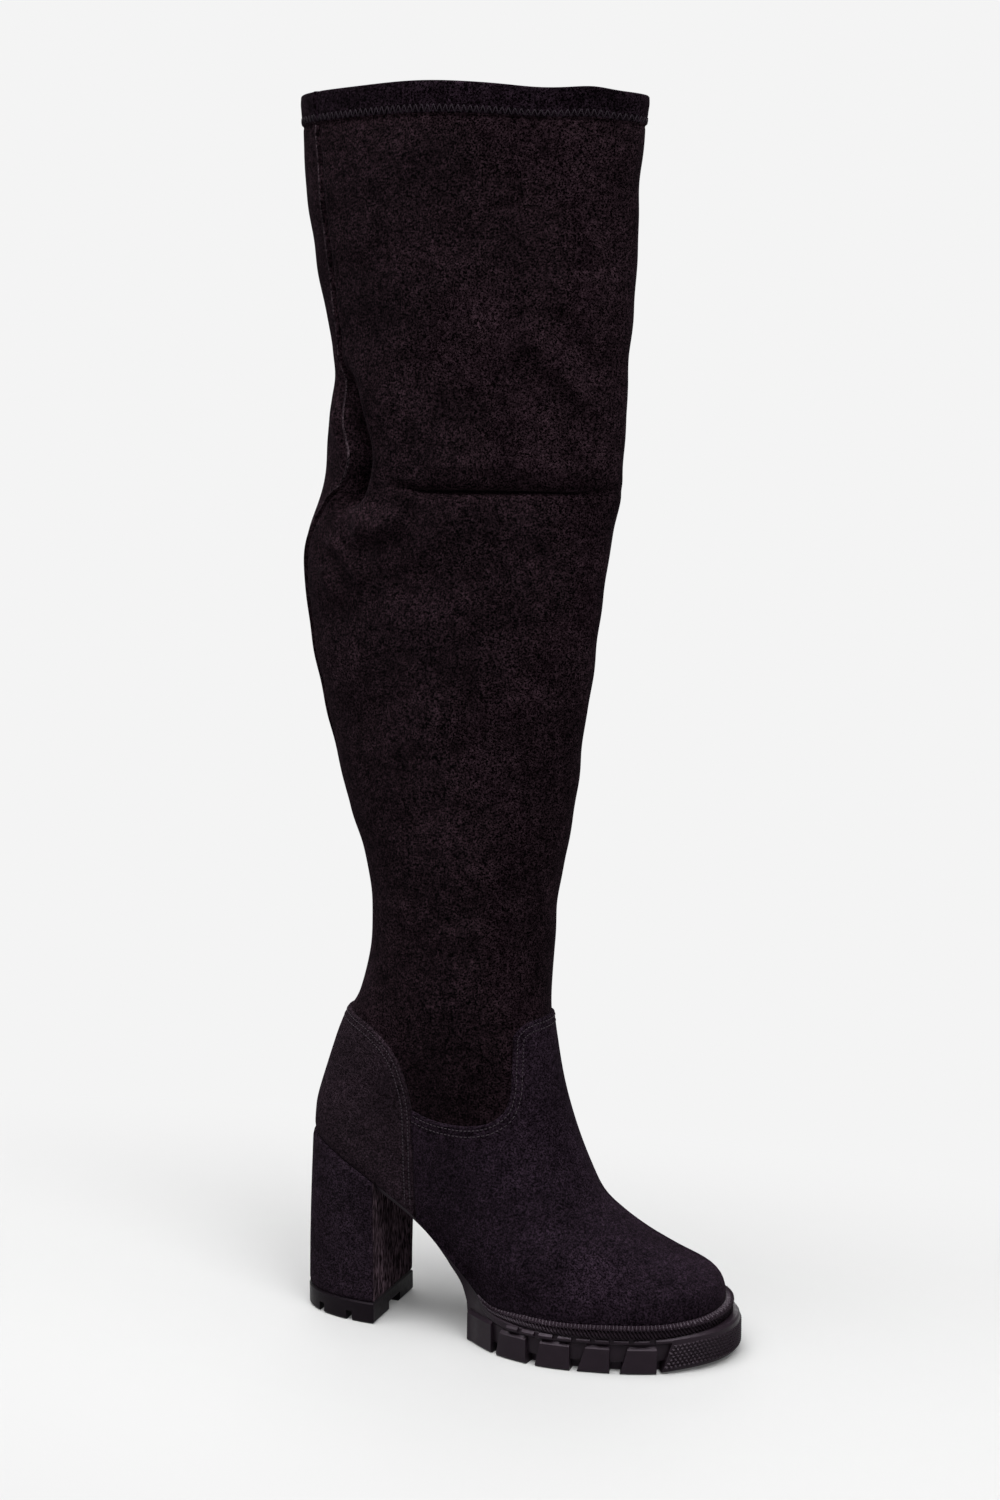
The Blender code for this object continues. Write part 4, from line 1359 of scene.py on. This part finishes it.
def make_floor():
    """Pale floor: paper near the boot that takes its shadow, and the background's own glow farther out."""
    count = FLOOR_COLUMNS
    turn = np.linspace(0, 2 * np.pi, count, endpoint=False)
    reach = np.append(np.linspace(*FLOOR_RINGS), FLOOR_REACH)
    flat = [np.outer(reach, np.cos(turn)), np.outer(reach, np.sin(turn)), np.zeros((len(reach), count))]
    points = np.concatenate([np.stack(flat, -1).reshape(-1, 3), np.zeros((1, 3))])
    faces = grid(len(reach), count, around=True)
    faces += [[i, len(points) - 1, (i + 1) % count] for i in range(count)]
    mesh = bpy.data.meshes.new("pale_floor")
    mesh.from_pydata(points.tolist(), [], faces)
    made = linked("pale_floor", mesh)
    pale, tree, shader = look("pale_paper", (FLOOR_COLOUR,) * 3, 0.9, Specular_IOR_Level=0.0)
    far = distance(tree, FLOOR_SQUEEZE, (0.0, 0.0, 0.0))
    tree.links.new(faded(tree, far, *FLOOR_BLEND, FLOOR_COLOUR, 0.0), shader.inputs["Base Color"])
    tree.links.new(faded(tree, far, *FLOOR_BLEND, FLOOR_GLOW, BACKGROUND), shader.inputs["Emission Strength"])
    shader.inputs["Emission Color"].default_value = (1.0, 1.0, 1.0, 1.0)
    mesh.materials.append(pale)


def make_light(name, at, aim, size, power):
    data = bpy.data.lights.new(name, "AREA")
    data.shape = "RECTANGLE"
    data.size, data.size_y = size
    data.energy = power
    made = linked(name, data)
    made.location = at
    made.rotation_euler = (Vector(aim) - Vector(at)).to_track_quat("-Z", "Y").to_euler()


def make_studio():
    """World that glows like the background up to a low height and dims above it, and the soft lights."""
    world = bpy.data.worlds.new("studio")
    world.use_nodes = True
    tree = world.node_tree
    glow = tree.nodes["Background"]
    glow.inputs["Color"].default_value = (1.0, 1.0, 1.0, 1.0)
    place = tree.nodes.new("ShaderNodeTexCoord")
    split = tree.nodes.new("ShaderNodeSeparateXYZ")
    tree.links.new(place.outputs["Generated"], split.inputs["Vector"])
    tree.links.new(faded(tree, split.outputs["Z"], *SKY_BLEND, BACKGROUND, SKY), glow.inputs["Strength"])
    bpy.context.scene.world = world
    bpy.context.scene.view_settings.view_transform = "Standard"
    for row in LIGHTS:
        make_light(*row)


make_camera()
make_studio()
make_floor()
# The upper's suede carries painted shade in the opening between the panels
SUEDE = suede("upper_suede", (0.0044, 0.0025, 0.0033), dark=OPENING_PAINTED_SHADE)
HEM_SUEDE = suede("hem_suede", (0.0028, 0.0017, 0.0026))
# Lighter suede for the back seam's crest: a painted highlight
SEAM_HIGHLIGHT_SUEDE = suede("seam_painted_highlight", (0.0117, 0.0083, 0.0100))
VAMP_SUEDE = suede("vamp_suede", (0.0053, 0.0034, 0.0053), contrast=0.75)
COUNTER_SUEDE = suede("counter_suede", (0.0078, 0.0051, 0.0068), contrast=0.68)
HEEL_SUEDE = suede("heel_suede", (0.0071, 0.0047, 0.0070), contrast=0.75)
# Breast suede: upright grain, and a colour made lighter as painted light on the faces turned to the toe
BREAST_GRAIN_AND_LIGHT_SUEDE = suede("heel_breast_grain_and_painted_light", (0.0193, 0.0127, 0.0158), (1.0, 1.0, 0.2), 1.1)
LINING = knit("lining", (0.012, 0.010, 0.011))
BED_CLOTH = knit("insole_cloth", (0.018, 0.016, 0.017))
# Threads: black, lightened as painted sheen
HEM_THREAD_SHEEN = thread_sheen_look("hem_thread_painted_sheen", (0.0076, 0.0056, 0.0074))
PANEL_THREAD_SHEEN = thread_sheen_look("panel_thread_painted_sheen", (0.0160, 0.0125, 0.0152))
RUBBER = rubber("sole_rubber", (0.0072, 0.0047, 0.0067))
RAND_RUBBER = rubber("rand_rubber", (0.0072, 0.0046, 0.0066), 0.14)
CAP_RUBBER = rubber("cap_rubber", (0.0032, 0.0022, 0.0031), 0.06)
make_upper(SUEDE, LINING, SEAM_HIGHLIGHT_SUEDE, HEM_SUEDE)
make_hem_stitch(HEM_THREAD_SHEEN)
EDGES = [make_vamp(VAMP_SUEDE), make_counter(COUNTER_SUEDE)]
make_panel_stitches(EDGES, PANEL_THREAD_SHEEN)
make_outsole(RUBBER)
make_rand(RAND_RUBBER)
make_heel_block(HEEL_SUEDE, BREAST_GRAIN_AND_LIGHT_SUEDE)
make_heel_cap(CAP_RUBBER)
make_insole(BED_CLOTH)
